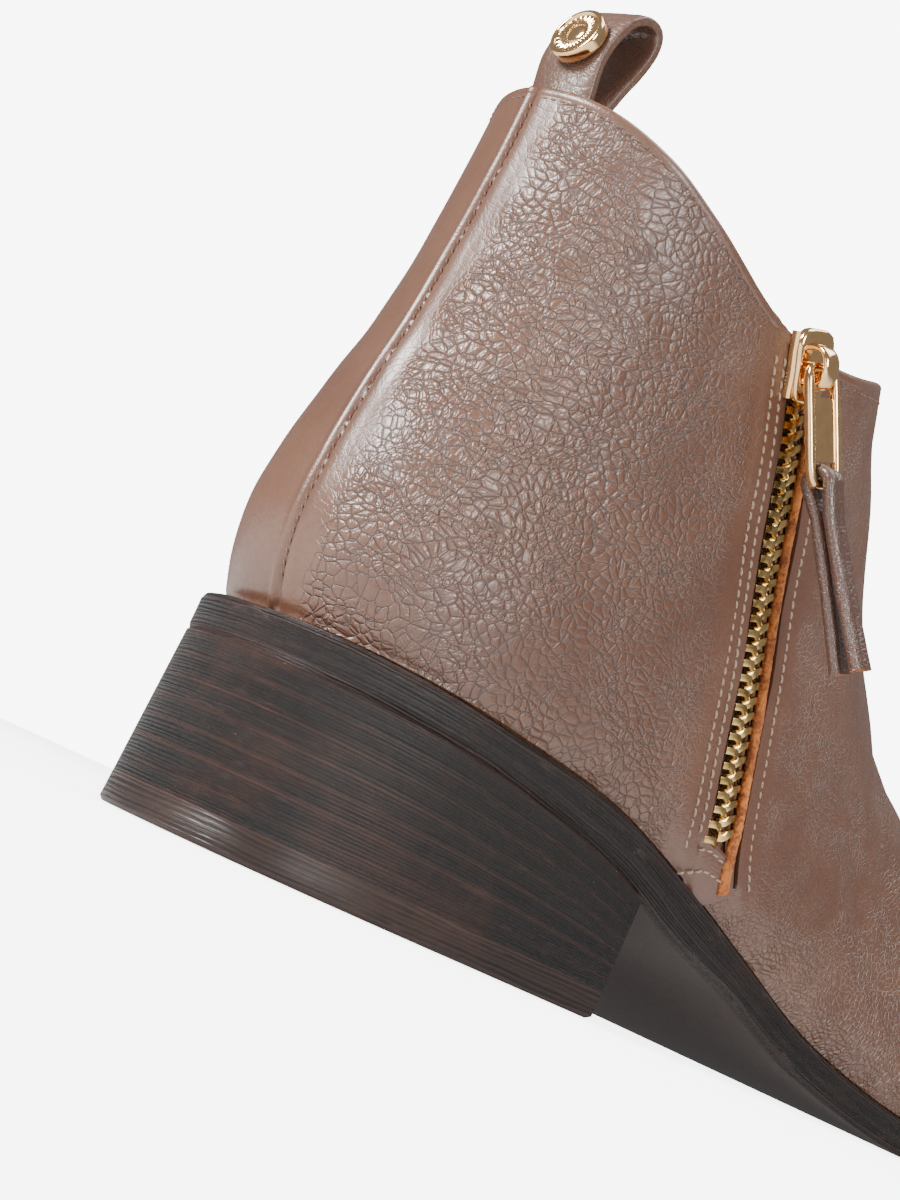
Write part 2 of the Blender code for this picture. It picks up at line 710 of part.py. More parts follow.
def make_stud(parent):
    """The round metal stud on the loop's outer face, a disc with a rolled edge."""
    path = loop_path()
    middle = int(np.argmin(np.abs(path[:13, 1] - (COLLAR_BACK + STUD_RISE))))
    along = path[middle + 1] - path[middle - 1]
    along /= np.linalg.norm(along)
    out = np.array([-along[1], along[0]])
    seat = path[middle] + out * (LOOP_THICK / 2 + GAP)
    turn = np.linspace(0, 2 * np.pi, 28, endpoint=False)
    sections = []
    for radius, level in ((0.9, 0), (1.0, 0.5), (1.0, 1.9), (0.93, 2.25), (0.8, STUD_THICK)):
        across = STUD_RADIUS * radius * np.cos(turn)
        up = STUD_RADIUS * radius * np.sin(turn)
        yz = seat[None, :] + out[None, :] * level + along[None, :] * up[:, None]
        sections.append(np.column_stack([STUD_X + across, yz]))
    return block("loop_stud", sections, GOLD, parent)


def main():
    """Clears the scene and builds the boot under one empty that puts the heel's middle at the origin."""
    for thing in list(bpy.data.objects):
        bpy.data.objects.remove(thing)
    boot = bpy.data.objects.new("boot", None)
    bpy.context.scene.collection.objects.link(boot)
    boot.location = (0, -LIFT_CENTRE * MM, 0)
    make_outsole(boot)
    make_heel_block(boot)
    make_top_lift(boot)
    make_insole(boot)
    make_upper(boot)
    zip_strip("zip_tape", TAPE_FOOT, TAPE_TOP, -TAPE_HALF, TAPE_HALF, WALL + GAP, WALL + GAP + TAPE_THICK, TAPE_BROWN, boot, columns=7)
    zip_strip("zip_front_edge", CHAIN_FOOT - 1, SLIDER_HEIGHT - SLIDER_LENGTH / 2 - 1, EDGE_FROM, SLOT_FRONT - GAP,
              -EDGE_PROUD, WALL, TAN_EDGE, boot, columns=2)
    make_zip_chain(boot)
    frame = slider_frame(boot)
    make_slider(frame)
    hinge = bpy.data.objects.new("pull_hinge", None)
    bpy.context.scene.collection.objects.link(hinge)
    hinge.parent = frame
    hinge.location = (0, 0, PULL_AXIS * MM)
    hinge.rotation_euler = (-math.radians(PULL_REST_DEG), 0, 0)
    make_pull(hinge)
    make_tassel(hinge)
    make_loop(boot)
    make_stud(boot)


main()
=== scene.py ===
"""The left zip ankle boot, dressed: leather, stacked heel, brass zip, pull, back loop and stud.

Sizes are in millimetres in the boot's frame: X to the medial side, Y to the toe, Z up. A station is
a distance forward from the back edge of the sole, and the world's Y is the station less the place
of the heel's middle. Meshes become metres as they are made.
"""

import logging
import math
import sys
from dataclasses import dataclass
from enum import Enum
from typing import Callable, NamedTuple, Sequence

import bmesh
import bpy
import numpy as np
from mathutils import Matrix, Vector


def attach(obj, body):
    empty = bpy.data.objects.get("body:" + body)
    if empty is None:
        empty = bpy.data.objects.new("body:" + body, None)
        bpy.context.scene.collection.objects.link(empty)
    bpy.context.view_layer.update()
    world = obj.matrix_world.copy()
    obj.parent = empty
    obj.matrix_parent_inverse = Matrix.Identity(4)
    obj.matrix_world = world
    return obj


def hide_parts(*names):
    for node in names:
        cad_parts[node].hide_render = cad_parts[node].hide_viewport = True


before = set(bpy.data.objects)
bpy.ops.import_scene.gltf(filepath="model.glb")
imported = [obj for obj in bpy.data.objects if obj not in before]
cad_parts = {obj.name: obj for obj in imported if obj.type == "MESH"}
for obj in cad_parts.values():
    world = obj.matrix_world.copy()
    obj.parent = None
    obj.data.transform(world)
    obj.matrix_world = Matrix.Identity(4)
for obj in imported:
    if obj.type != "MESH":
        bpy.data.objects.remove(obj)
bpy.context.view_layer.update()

Array = np.ndarray
MM = 0.001
HEEL_MIDDLE = 36.0
LOG = logging.getLogger("boot")


class Body(Enum):
    """The two bodies that pieces ride on."""

    BOOT = "boot"
    PULL = "pull"


class PlanRow(NamedTuple):
    """One station of the sole's edge: half-widths before its ends are rounded, height and thickness."""

    station: float
    medial: float
    lateral: float
    top: float
    thick: float


class LegRow(NamedTuple):
    """One height of the leg: the back's station, half-widths and the power of the back's curve."""

    height: float
    back: float
    medial: float
    lateral: float
    power: float


class RidgeRow(NamedTuple):
    """One station of vamp and instep: the ridge's height and the arch's two powers."""

    station: float
    height: float
    steep: float
    crown: float


class ZipRow(NamedTuple):
    """One height of the zip's middle line."""

    height: float
    station: float


class KnotRow(NamedTuple):
    """One point of a line drawn in the side view: its number, station and height."""

    number: float
    station: float
    height: float


class FoldRow(NamedTuple):
    """A crease at the ankle: its lift, its place and width in the side view, and its side."""

    lift: float
    height: float
    slope: float
    start: float
    half: float
    middle: float
    reach: float
    medial: bool


class StitchRow(NamedTuple):
    """A stitch row beside the zip: its offset from the zip's line, and its lowest and highest height."""

    offset: float
    low: float
    high: float


SOLE_PLAN = (
    PlanRow(0, 28.6, 30.4, 35.5, 6.5),
    PlanRow(32, 28.2, 29.8, 33.9, 6.5),
    PlanRow(62, 28.9, 32.0, 31.2, 7.8),
    PlanRow(88, 30.4, 32.8, 24.0, 8.2),
    PlanRow(104, 30.4, 34.0, 19.1, 6.9),
    PlanRow(126, 32.8, 38.0, 11.5, 6.1),
    PlanRow(150, 38.8, 43.6, 6.4, 5.8),
    PlanRow(176, 44.0, 47.5, 5.4, 5.8),
    PlanRow(204, 46.5, 46.0, 5.9, 5.6),
    PlanRow(236, 47.0, 44.0, 9.0, 5.5),
    PlanRow(264, 47.0, 42.0, 14.0, 5.5),
)
LEG = (
    LegRow(35.5, 4.4, 28.1, 31.2, 2.5),
    LegRow(43.0, 1.2, 28.8, 32.0, 2.45),
    LegRow(51.0, -0.4, 29.2, 32.2, 2.4),
    LegRow(60.0, 0.1, 29.0, 31.5, 2.35),
    LegRow(72.0, 2.1, 28.4, 29.8, 2.3),
    LegRow(85.0, 5.0, 28.0, 27.9, 2.25),
    LegRow(98.0, 6.8, 28.0, 26.6, 2.2),
    LegRow(112.0, 7.4, 28.2, 26.0, 2.15),
    LegRow(130.0, 8.0, 28.6, 25.7, 2.1),
)
RIDGE = (
    RidgeRow(40, 660, 2.2, 2.0),
    RidgeRow(60, 400, 2.2, 2.0),
    RidgeRow(80, 186, 2.15, 2.0),
    RidgeRow(92, 138, 2.05, 2.0),
    RidgeRow(104, 115.5, 2.05, 1.95),
    RidgeRow(118, 93, 1.85, 1.9),
    RidgeRow(136, 72.5, 1.68, 1.85),
    RidgeRow(156, 59.5, 1.78, 1.85),
    RidgeRow(178, 50, 2.0, 1.9),
    RidgeRow(202, 44, 2.25, 2.0),
    RidgeRow(228, 39, 2.4, 2.1),
    RidgeRow(264, 34, 2.4, 2.1),
)
ZIP_LINE = (
    ZipRow(22, 90.7),
    ZipRow(30, 85.4),
    ZipRow(43, 81.1),
    ZipRow(55, 77.6),
    ZipRow(71, 72.2),
    ZipRow(90, 65.4),
    ZipRow(107, 58.4),
    ZipRow(118, 54.4),
)
ZIP_ROWS = (
    StitchRow(-4.7, 35.4, 108.2),
    StitchRow(-6.9, 33.2, 108.4),
    StitchRow(8.3, 24.5, 108.2),
)
SLOT_TURNED = (0.0, 0.35, 0.9, 1.6, 2.2)
ANKLE_FOLDS = (
    FoldRow(-0.85, 74, 0.22, 20, 9, 16, 26, True),
    FoldRow(0.5, 88, 0.25, 22, 10, 24, 24, True),
    FoldRow(-0.4, 101, 0.3, 26, 6, 30, 22, True),
    FoldRow(-0.7, 76, 0.2, 30, 8, 34, 34, False),
    FoldRow(-0.6, 92, 0.45, 60, 7, 62, 30, False),
)
LOOP_KNOTS = (
    (0.0, -9.0), (0.0, -4.0), (0.1, 0.5), (0.2, 4.0), (0.6, 9.5), (2.1, 14.0), (4.0, 16.6), (6.6, 17.9),
    (9.0, 17.2), (9.6, 14.2), (8.2, 9.0), (6.0, 4.6), (3.8, 0.8), (2.6, -2.8), (2.3, -7.0),
)
STUD_PROFILE = (
    (0.86, 0.0), (0.97, 0.12), (1.0, 0.45), (1.0, 1.7), (0.985, 2.0), (0.95, 2.22), (0.9, 2.3),
    (0.85, 2.25), (0.81, 2.05), (0.79, 1.82), (0.7, 1.74), (0.55, 1.72), (0.42, 1.74), (0.38, 1.86),
    (0.34, 2.0), (0.26, 2.12), (0.14, 2.18), (0.0, 2.2),
)


def through(x: Array, rows: Sequence[NamedTuple], column: str) -> Array:
    """A smooth curve through one column of a table: cubic spans whose slopes are averaged.

    Args:
        x: Where the curve is read, in the first column's unit.
        rows: The table.
        column: The name of the column that is read.

    Returns:
        The curve's values at x.
    """
    xs = np.array([row[0] for row in rows], float)
    ys = np.array([getattr(row, column) for row in rows], float)
    span = np.diff(xs)
    chord = np.diff(ys) / span
    middle = (chord[:-1] * span[1:] + chord[1:] * span[:-1]) / (span[:-1] + span[1:])
    slope = np.concatenate([chord[:1], middle, chord[-1:]])
    i = np.clip(np.searchsorted(xs, x) - 1, 0, len(span) - 1)
    t = (np.clip(x, xs[0], xs[-1]) - xs[i]) / span[i]
    flat = (1 + 2 * t) * (1 - t) ** 2 * ys[i] + t * t * (3 - 2 * t) * ys[i + 1]
    return flat + span[i] * (t * (1 - t) ** 2 * slope[i] - t * t * (1 - t) * slope[i + 1])


def ease(t: Array) -> Array:
    """0 before 0, 1 after 1, and smooth between."""
    t = np.clip(t, 0, 1)
    return t * t * (3 - 2 * t)


def hump(t: Array) -> Array:
    """1 at t = 0, falling smoothly to 0 at t = -1 and t = 1."""
    return ease(1 - np.abs(t))


def angles(count: int) -> Array:
    """Even angles once round, without the last."""
    return np.linspace(0, 2 * np.pi, count, endpoint=False)


def unit(vectors: Array) -> Array:
    """The vectors at length 1."""
    return vectors / np.maximum(np.linalg.norm(vectors, axis=-1, keepdims=True), 1e-12)


def ripple(points: Array, size: float, seed: int) -> Array:
    """Soft noise of about plus or minus 1: a sum of ten sine waves of random headings over a size.

    Args:
        points: Points in millimetres, last axis of 3.
        size: The longest wave's length, in millimetres.
        seed: The number that fixes the headings.

    Returns:
        One value per point.
    """
    rng = np.random.default_rng(seed)
    heading = unit(rng.normal(size=(10, 3)))
    pace = 2 * np.pi / size * rng.uniform(1.0, 2.4, 10)
    phase = rng.uniform(0, 2 * np.pi, 10)
    waves = np.sin((points @ heading.T) * pace + phase)
    return waves @ (1 / np.sqrt(pace * size)) * 0.75


@dataclass(frozen=True)
class Form:
    """The boot's shape, from the same sizes as its solids."""

    sole_length: float = 264.0
    heel_round: float = 41.0
    heel_power: float = 2.5
    toe_round: float = 182.0
    toe_power: float = 2.0
    toe_taper: float = 0.60
    toe_swing: float = 7.0
    swing_from: float = 110.0
    lift_thick: float = 5.0
    heel_flare: float = 1.8
    breast_station: float = 72.7
    breast_hollow: float = 5.0
    wall: float = 2.2
    feather_inset: float = 1.6
    collar_back: float = 125.5
    collar_front: float = 101.5
    collar_dip: float = 12.8
    dip_power: float = 1.44
    counter_bulge: float = 1.7
    bulge_height: float = 12.0
    nose_from: float = 224.0
    nose_power: float = 3.0
    nose_taper: float = 0.38
    leg_round: float = 48.0

    def swing(self, station: Array) -> Array:
        """How far the sole's axis has bent towards the medial side: a square from its start."""
        reach = self.sole_length - self.swing_from
        return self.toe_swing * np.clip((station - self.swing_from) / reach, 0, 1) ** 2

    def toe_close(self, station: Array, length: float) -> Array:
        """1 at the ball and 0 at the toe's tip: (1 - t to a power) to a power."""
        t = np.clip((station - self.toe_round) / (length - self.toe_round), 0, 1)
        return (1 - t**self.toe_power) ** self.toe_taper

    def back_close(self, station: Array, back: Array, full: float, power: Array) -> Array:
        """0 at the back and 1 where the width is full, along a superellipse."""
        t = np.clip((full - station) / (full - back), 0, 1)
        return (1 - t**power) ** (1 / power)

    def sole_top(self, station: Array) -> Array:
        """Height of the sole's upper face."""
        return through(station, SOLE_PLAN, "top")

    def sole_bottom(self, station: Array) -> Array:
        """Height of the sole's underside, never under the floor."""
        return np.maximum(self.sole_top(station) - through(station, SOLE_PLAN, "thick"), 0.0)

    def ridge(self, station: Array) -> Array:
        """Height of the upper's top line, rounded down to the sole at the toe's nose."""
        tip = self.sole_length - self.feather_inset
        t = np.clip((station - self.nose_from) / (tip - self.nose_from), 0, 1)
        base = self.sole_top(station)
        full = through(station, RIDGE, "height") - base
        return base + full * (1 - t**self.nose_power) ** self.nose_taper

    def upper_half(self, station: Array, height: Array, side: str) -> Array:
        """Half-width of the upper: a plan width, closed at the back, the ridge and the toe."""
        base = self.sole_top(station)
        rise = np.maximum(height - base, 0)
        foot = through(station, SOLE_PLAN, side) - self.feather_inset
        foot = foot + self.counter_bulge * rise / self.bulge_height * np.exp(1 - rise / self.bulge_height)
        leg = through(height, LEG, side)
        to_leg = np.maximum(ease(rise / 45), ease((45 - station) / 20))
        to_leg = to_leg * (1 - ease((station - 88) / 62))
        width = foot + (leg - foot) * to_leg
        t = np.clip(rise / np.maximum(self.ridge(station) - base, 1e-6), 0, 1)
        steep = through(station, RIDGE, "steep")
        arch = (1 - t**steep) ** (1 / through(station, RIDGE, "crown"))
        power = through(height, LEG, "power")
        heel = self.back_close(station, through(height, LEG, "back"), self.leg_round, power)
        return width * arch * heel * self.toe_close(station, self.sole_length - self.feather_inset)

    def even(self, line: Callable[[Array], Array], count: Array) -> Array:
        """Parameters at which points lie at the given fractions of a line's length."""
        fine = np.linspace(0, 1, 3000)
        steps = np.linalg.norm(np.diff(line(fine), axis=0), axis=1)
        run = np.concatenate([[0], np.cumsum(steps)])
        return np.interp(count * run[-1], run, fine)

    def front_line(self, t: Array) -> Array:
        """Station and height along the ridge, from the toe's tip to the collar's front."""
        tip = self.sole_length - self.feather_inset
        turn = 1 - (1 - t) ** 2
        station = tip + (self.collar_front - tip) * (0.35 * t * t + 0.65 * turn * t)
        return np.stack([station, self.ridge(station)], -1)

    def back_line(self, t: Array) -> Array:
        """Station and height along the back seam, from the sole to the collar."""
        foot = self.sole_top(np.array(0.0))
        height = foot + (self.collar_back - foot) * t
        return np.stack([through(height, LEG, "back"), height], -1)

    def upper_point(self, up: Array, turn: Array) -> Array:
        """Points of the upper's outer face.

        The point lies on a line from the back seam to the ridge, bent down along the sole at the
        foot and along the collar's dip at the top; its width is the half-width there.

        Args:
            up: Fraction of the way up, 0 at the sole and 1 at the collar, shape (rows, 1).
            turn: Angle round the boot from the back seam by the medial side, shape (rows, columns).

        Returns:
            Points of shape (rows, columns, 3).
        """
        flat = up[:, 0]
        front = self.front_line(self.even(self.front_line, flat))
        back = self.back_line(self.even(self.back_line, flat))
        fs, fz, bs, bz = front[:, :1], front[:, 1:], back[:, :1], back[:, 1:]
        along = (1 - np.cos(turn)) / 2
        station = bs + (fs - bs) * along
        lift = (bz - self.sole_top(bs)) * (1 - along) + (fz - self.sole_top(fs)) * along
        line = bz * (1 - along) + fz * along
        line = line - self.collar_dip * up**3 * np.abs(np.sin(np.pi * along)) ** self.dip_power
        height = (self.sole_top(station) + lift) * (1 - up * up) + line * up * up
        medial = self.upper_half(station, height, "medial")
        lateral = self.upper_half(station, height, "lateral")
        x = np.where(turn <= np.pi, medial, -lateral) + self.swing(station)
        return np.stack([x, station, height], -1)

    def medial_face(self, station: Array, height: Array) -> Array:
        """Points of the medial face at stations and heights of the side view."""
        x = self.upper_half(station, height, "medial") + self.swing(station)
        return np.stack([x, station, height], -1)

    def side_point(self, station: Array, height: Array, depth: Array) -> tuple[Array, Array]:
        """Points under the medial face at a depth along its normal, and the normals."""
        step = 0.5
        along = self.medial_face(station + step, height) - self.medial_face(station - step, height)
        upwards = self.medial_face(station, height + step) - self.medial_face(station, height - step)
        normal = unit(np.cross(along, upwards))
        return self.medial_face(station, height) - normal * np.asarray(depth)[..., None], normal

    def zip_station(self, height: Array) -> Array:
        """The zip line's station at a height."""
        return through(height, ZIP_LINE, "station")

    def zip_across(self, height: Array, offset: Array) -> tuple[Array, Array]:
        """Station and height of points beside the zip's line, offset towards the toe in the side view."""
        slope = self.zip_station(height + 0.5) - self.zip_station(height - 0.5)
        length = np.hypot(slope, 1.0)
        return self.zip_station(height) + offset / length, height - offset * slope / length

    def zip_offset(self, points: Array) -> Array:
        """How far points of the medial side lie in front of the zip's line, in the side view."""
        height = points[..., 2]
        slope = self.zip_station(height + 0.5) - self.zip_station(height - 0.5)
        return (points[..., 1] - self.zip_station(height)) / np.hypot(slope, 1.0)


FORM = Form()


class MeshMaker:
    """Gathers grids of points into one mesh, with values per point and a material slot per grid."""

    def __init__(self) -> None:
        """Starts empty."""
        self.points: list[Array] = []
        self.quads: list[Array] = []
        self.slots: list[Array] = []
        self.values: dict[str, list[tuple[int, Array]]] = {}
        self.count = 0

    def grid(
        self,
        points: Array,
        around: bool = False,
        keep: Array | None = None,
        slot: int = 0,
        **values: Array,
    ) -> None:
        """Adds a grid whose faces look along (column direction) x (row direction).

        Args:
            points: Points of shape (rows, columns, 3), in millimetres.
            around: Whether the last column joins the first.
            keep: Which cells are kept, shape (rows - 1, cells across), or all.
            slot: The material slot of the faces.
            **values: Named values per point, of shape (rows, columns) or (rows, columns, 3).
        """
        rows, columns = points.shape[:2]
        here = np.arange(rows * columns).reshape(rows, columns) + self.count
        nearby = np.roll(here, -1, axis=1) if around else here[:, 1:]
        here = here if around else here[:, :-1]
        cells = np.stack([here[:-1], nearby[:-1], nearby[1:], here[1:]], -1)
        cells = cells.reshape(-1, 4) if keep is None else cells[keep]
        self.points.append(points.reshape(-1, 3))
        self.quads.append(cells)
        self.slots.append(np.full(len(cells), slot))
        for name, value in values.items():
            value = np.asarray(value, float)
            whole = value.shape[-1:] == (3,) and value.ndim == 3
            shape = (rows * columns, 3) if whole else (rows * columns,)
            self.values.setdefault(name, []).append((self.count, value.reshape(shape)))
        self.count += rows * columns

    def tube(self, rings: Array, cap_slot: int = 0, **values: Array) -> None:
        """Adds a closed tube through rings of points, with both ends closed to their middles.

        Args:
            rings: Points of shape (rings, around, 3).
            cap_slot: The material slot of the ends.
            **values: Named values per point of the rings.
        """
        values.setdefault("radius", np.ones(rings.shape[:2]))
        self.grid(rings, around=True, **values)
        steps = np.array([1.0, 0.75, 0.72, 0.4, 0.0])[:, None, None]
        for ring, sign in ((rings[0], -1), (rings[-1], 1)):
            middle = ring.mean(axis=0)
            cap = middle + (ring - middle)[None] * steps
            cap = cap if sign > 0 else cap[:, ::-1]
            across = np.broadcast_to(steps[:, :, 0], cap.shape[:2])
            self.grid(cap, around=True, slot=cap_slot, radius=across)

    def many(self, template: Array) -> None:
        """Adds many small closed tubes at once: an array of shape (pieces, rings, around, 3)."""
        ends = template[:, [0, -1]].mean(axis=2, keepdims=True)
        ends = np.repeat(ends, template.shape[2], axis=2)
        for piece in np.concatenate([ends[:, :1], template, ends[:, 1:]], axis=1):
            self.grid(piece, around=True)

    def finish(
        self,
        name: str,
        finishes: Sequence["Look"],
        replaces: Sequence[str] = (),
        slot: str = "upper_leather",
        body: Body = Body.BOOT,
        closed: bool = True,
        angle: float = 40.0,
    ) -> bpy.types.Object:
        """Makes the object, joins doubles, and hands the piece to its body.

        Args:
            name: The piece's name.
            finishes: Its finishes, in the order of the material slots.
            replaces: The CAD nodes that it stands for.
            slot: The record's material slot; not used.
            body: The body that it rides on.
            closed: Whether normals are worked out afresh from a closed surface.
            angle: Edges sharper than this many degrees stay sharp.

        Returns:
            The object.
        """
        points = np.concatenate(self.points) - np.array([0.0, HEEL_MIDDLE, 0.0])
        mesh = bpy.data.meshes.new(name)
        mesh.from_pydata((points * MM).tolist(), [], np.concatenate(self.quads).tolist())
        mesh.polygons.foreach_set("material_index", np.concatenate(self.slots).astype(np.int32))
        for label, parts in self.values.items():
            deep = parts[0][1].ndim == 2
            whole = np.zeros((len(points), 3) if deep else len(points), np.float32)
            for start, value in parts:
                whole[start : start + len(value)] = value
            layer = mesh.attributes.new(label, "FLOAT_VECTOR" if deep else "FLOAT", "POINT")
            layer.data.foreach_set("vector" if deep else "value", whole.ravel())
        bm = bmesh.new()
        bm.from_mesh(mesh)
        bmesh.ops.remove_doubles(bm, verts=bm.verts, dist=1e-6)
        bmesh.ops.delete(bm, geom=[v for v in bm.verts if not v.link_faces], context="VERTS")
        if closed:
            bmesh.ops.recalc_face_normals(bm, faces=bm.faces)
        bm.to_mesh(mesh)
        bm.free()
        mesh.shade_smooth()
        mesh.set_sharp_from_angle(angle=math.radians(angle))
        thing = bpy.data.objects.new(name, mesh)
        bpy.context.scene.collection.objects.link(thing)
        for finish in finishes:
            mesh.materials.append(finish.material())
        if replaces:
            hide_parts(*replaces)
        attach(thing, body.value)
        LOG.info("%s: %d faces on %s", name, len(mesh.polygons), body.value)
        return thing


def swept(path: Array, side: Array, out: Array, across: Array, lift: Array) -> Array:
    """A profile carried along a path: each point is path + side * across + out * lift.

    Args:
        path: Points of the path, shape (n, 3).
        side: Unit vectors across the path, shape (n, 3).
        out: Unit vectors out of the surface, shape (n, 3).
        across: The profile's places along side, shape (n, m) or (m,).
        lift: The profile's places along out, shape (n, m) or (m,).

    Returns:
        Rings of shape (n, m, 3).
    """
    across = np.broadcast_to(across, (len(path), np.shape(across)[-1]))
    lift = np.broadcast_to(lift, (len(path), np.shape(lift)[-1]))
    return path[:, None] + side[:, None] * across[..., None] + out[:, None] * lift[..., None]


def oval(count: int, wide: float, deep: float, power: float = 2.0) -> tuple[Array, Array]:
    """A superellipse of count points, whose corners are fuller with a higher power."""
    turn = angles(count)
    c, s = np.cos(turn), np.sin(turn)
    reach = (np.abs(c) ** power + np.abs(s) ** power) ** (-1 / power)
    return wide * c * reach, deep * s * reach


def resample(path: Array, pitch: float) -> Array:
    """Points at even distances along a path.

    Args:
        path: Points of shape (n, k).
        pitch: The wished distance between points, in the path's unit.

    Returns:
        The points, of shape (m, k).
    """
    run = np.concatenate([[0], np.cumsum(np.linalg.norm(np.diff(path[:, :3], axis=0), axis=1))])
    count = max(int(run[-1] / pitch), 2)
    at = np.interp(np.linspace(0, run[-1], count + 1), run, np.arange(len(path)))
    return np.stack([np.interp(at, np.arange(len(path)), column) for column in path.T], -1)


@dataclass(frozen=True)
class Thread:
    """A row of stitches: short, slightly arched capsules of thread that dip into the leather."""

    pitch: float = 1.75
    length: float = 1.5
    radius: float = 0.21
    proud: float = 0.1
    slant: float = 0.12

    def rows(self, path: Array, normal: Array) -> Array:
        """Capsules along a path.

        Each ring lies at a fraction a of the stitch, from -1 to 1: its middle is raised by an arch
        of 1 - a squared and sinks at both ends, and its radius shrinks to a point's at the ends.

        Args:
            path: Points on the face, shape (n, 3).
            normal: The face's normals there, shape (n, 3).

        Returns:
            An array of shape (stitches, rings, around, 3).
        """
        both = resample(np.concatenate([path, normal], axis=1), self.pitch)
        centre = (both[1:, :3] + both[:-1, :3]) / 2
        heading = unit(both[1:, :3] - both[:-1, :3])
        out = unit(both[1:, 3:] + both[:-1, 3:])
        side = unit(np.cross(out, heading))
        out = np.cross(heading, side)
        heading = unit(heading + side * self.slant)
        a = np.array([-1.0, -0.86, -0.45, 0.0, 0.45, 0.86, 1.0])
        size = np.array([0.45, 0.8, 1.0, 1.04, 1.0, 0.8, 0.45]) * self.radius
        arch = self.proud - (self.proud + self.radius * 0.9) * a**4
        turn = angles(6)
        middle = centre[:, None] + heading[:, None] * (a * self.length / 2)[None, :, None]
        middle = middle + out[:, None] * arch[None, :, None]
        ring = side[:, None, None] * np.cos(turn)[None, None, :, None]
        ring = ring + out[:, None, None] * np.sin(turn)[None, None, :, None]
        return middle[:, :, None] + ring * size[None, :, None, None]


class Wiring:
    """Adds nodes to a shader tree in few words."""

    def __init__(self, tree: bpy.types.NodeTree) -> None:
        """Works on one tree."""
        self.tree = tree

    def node(self, kind: str, **settings: object) -> bpy.types.Node:
        """Adds a node of a kind with its settings."""
        made = self.tree.nodes.new(kind)
        for name, value in settings.items():
            setattr(made, name, value)
        return made

    def feed(self, socket: bpy.types.NodeSocket, value: object) -> None:
        """Links a socket to an input, or sets the input's own value."""
        if isinstance(value, bpy.types.NodeSocket):
            self.tree.links.new(value, socket)
        elif value is not None:
            socket.default_value = value

    def maths(self, operation: str, *values: object) -> bpy.types.NodeSocket:
        """One calculation on numbers."""
        made = self.node("ShaderNodeMath", operation=operation)
        for socket, value in zip(made.inputs, values):
            self.feed(socket, value)
        return made.outputs[0]

    def vectors(self, operation: str, *values: object) -> bpy.types.NodeSocket:
        """One calculation on vectors."""
        made = self.node("ShaderNodeVectorMath", operation=operation)
        for socket, value in zip(made.inputs, values):
            self.feed(socket, value)
        return made.outputs[0]

    def scaled(self, vector: object, factor: float) -> bpy.types.NodeSocket:
        """A vector times a number."""
        made = self.node("ShaderNodeVectorMath", operation="SCALE")
        self.feed(made.inputs[0], vector)
        self.feed(made.inputs[3], factor)
        return made.outputs[0]

    def noise(
        self, vector: object, scale: object, detail: float = 2.0, rough: float = 0.5
    ) -> bpy.types.Node:
        """A noise texture."""
        made = self.node("ShaderNodeTexNoise")
        self.feed(made.inputs["Vector"], vector)
        self.feed(made.inputs["Scale"], scale)
        made.inputs["Detail"].default_value = detail
        made.inputs["Roughness"].default_value = rough
        return made

    def cells(self, vector: object, scale: object, feature: str) -> bpy.types.NodeSocket:
        """A Voronoi texture's distance."""
        made = self.node("ShaderNodeTexVoronoi", feature=feature)
        self.feed(made.inputs["Vector"], vector)
        self.feed(made.inputs["Scale"], scale)
        return made.outputs["Distance"]

    def span(
        self, value: object, low: float, high: float, to_low: float = 0.0, to_high: float = 1.0
    ) -> bpy.types.NodeSocket:
        """A smooth step from one range to another."""
        made = self.node("ShaderNodeMapRange", interpolation_type="SMOOTHSTEP")
        for socket, item in zip(made.inputs, (value, low, high, to_low, to_high)):
            self.feed(socket, item)
        return made.outputs[0]

    def mix(self, factor: object, first: object, second: object) -> bpy.types.NodeSocket:
        """Two colours mixed."""
        made = self.node("ShaderNodeMix", data_type="RGBA")
        self.feed(made.inputs[0], factor)
        self.feed(made.inputs[6], first)
        self.feed(made.inputs[7], second)
        return made.outputs[2]

    def place(self) -> bpy.types.NodeSocket:
        """Object coordinates."""
        return self.node("ShaderNodeTexCoord").outputs["Object"]

    def value(self, name: str) -> bpy.types.Node:
        """A named value of the mesh's points."""
        return self.node("ShaderNodeAttribute", attribute_name=name)

    def group(self, tree: bpy.types.NodeTree, **values: object) -> bpy.types.Node:
        """Places a node group with its values."""
        made = self.node("ShaderNodeGroup", node_tree=tree)
        for name, item in values.items():
            self.feed(made.inputs[name.replace("_", " ")], item)
        return made


def colour(red: float, green: float, blue: float) -> tuple[float, float, float, float]:
    """A colour from 0 to 255 screen values, made linear."""
    parts = np.array([red, green, blue]) / 255
    linear = np.where(parts <= 0.04045, parts / 12.92, ((parts + 0.055) / 1.055) ** 2.4)
    return (*map(float, linear), 1.0)


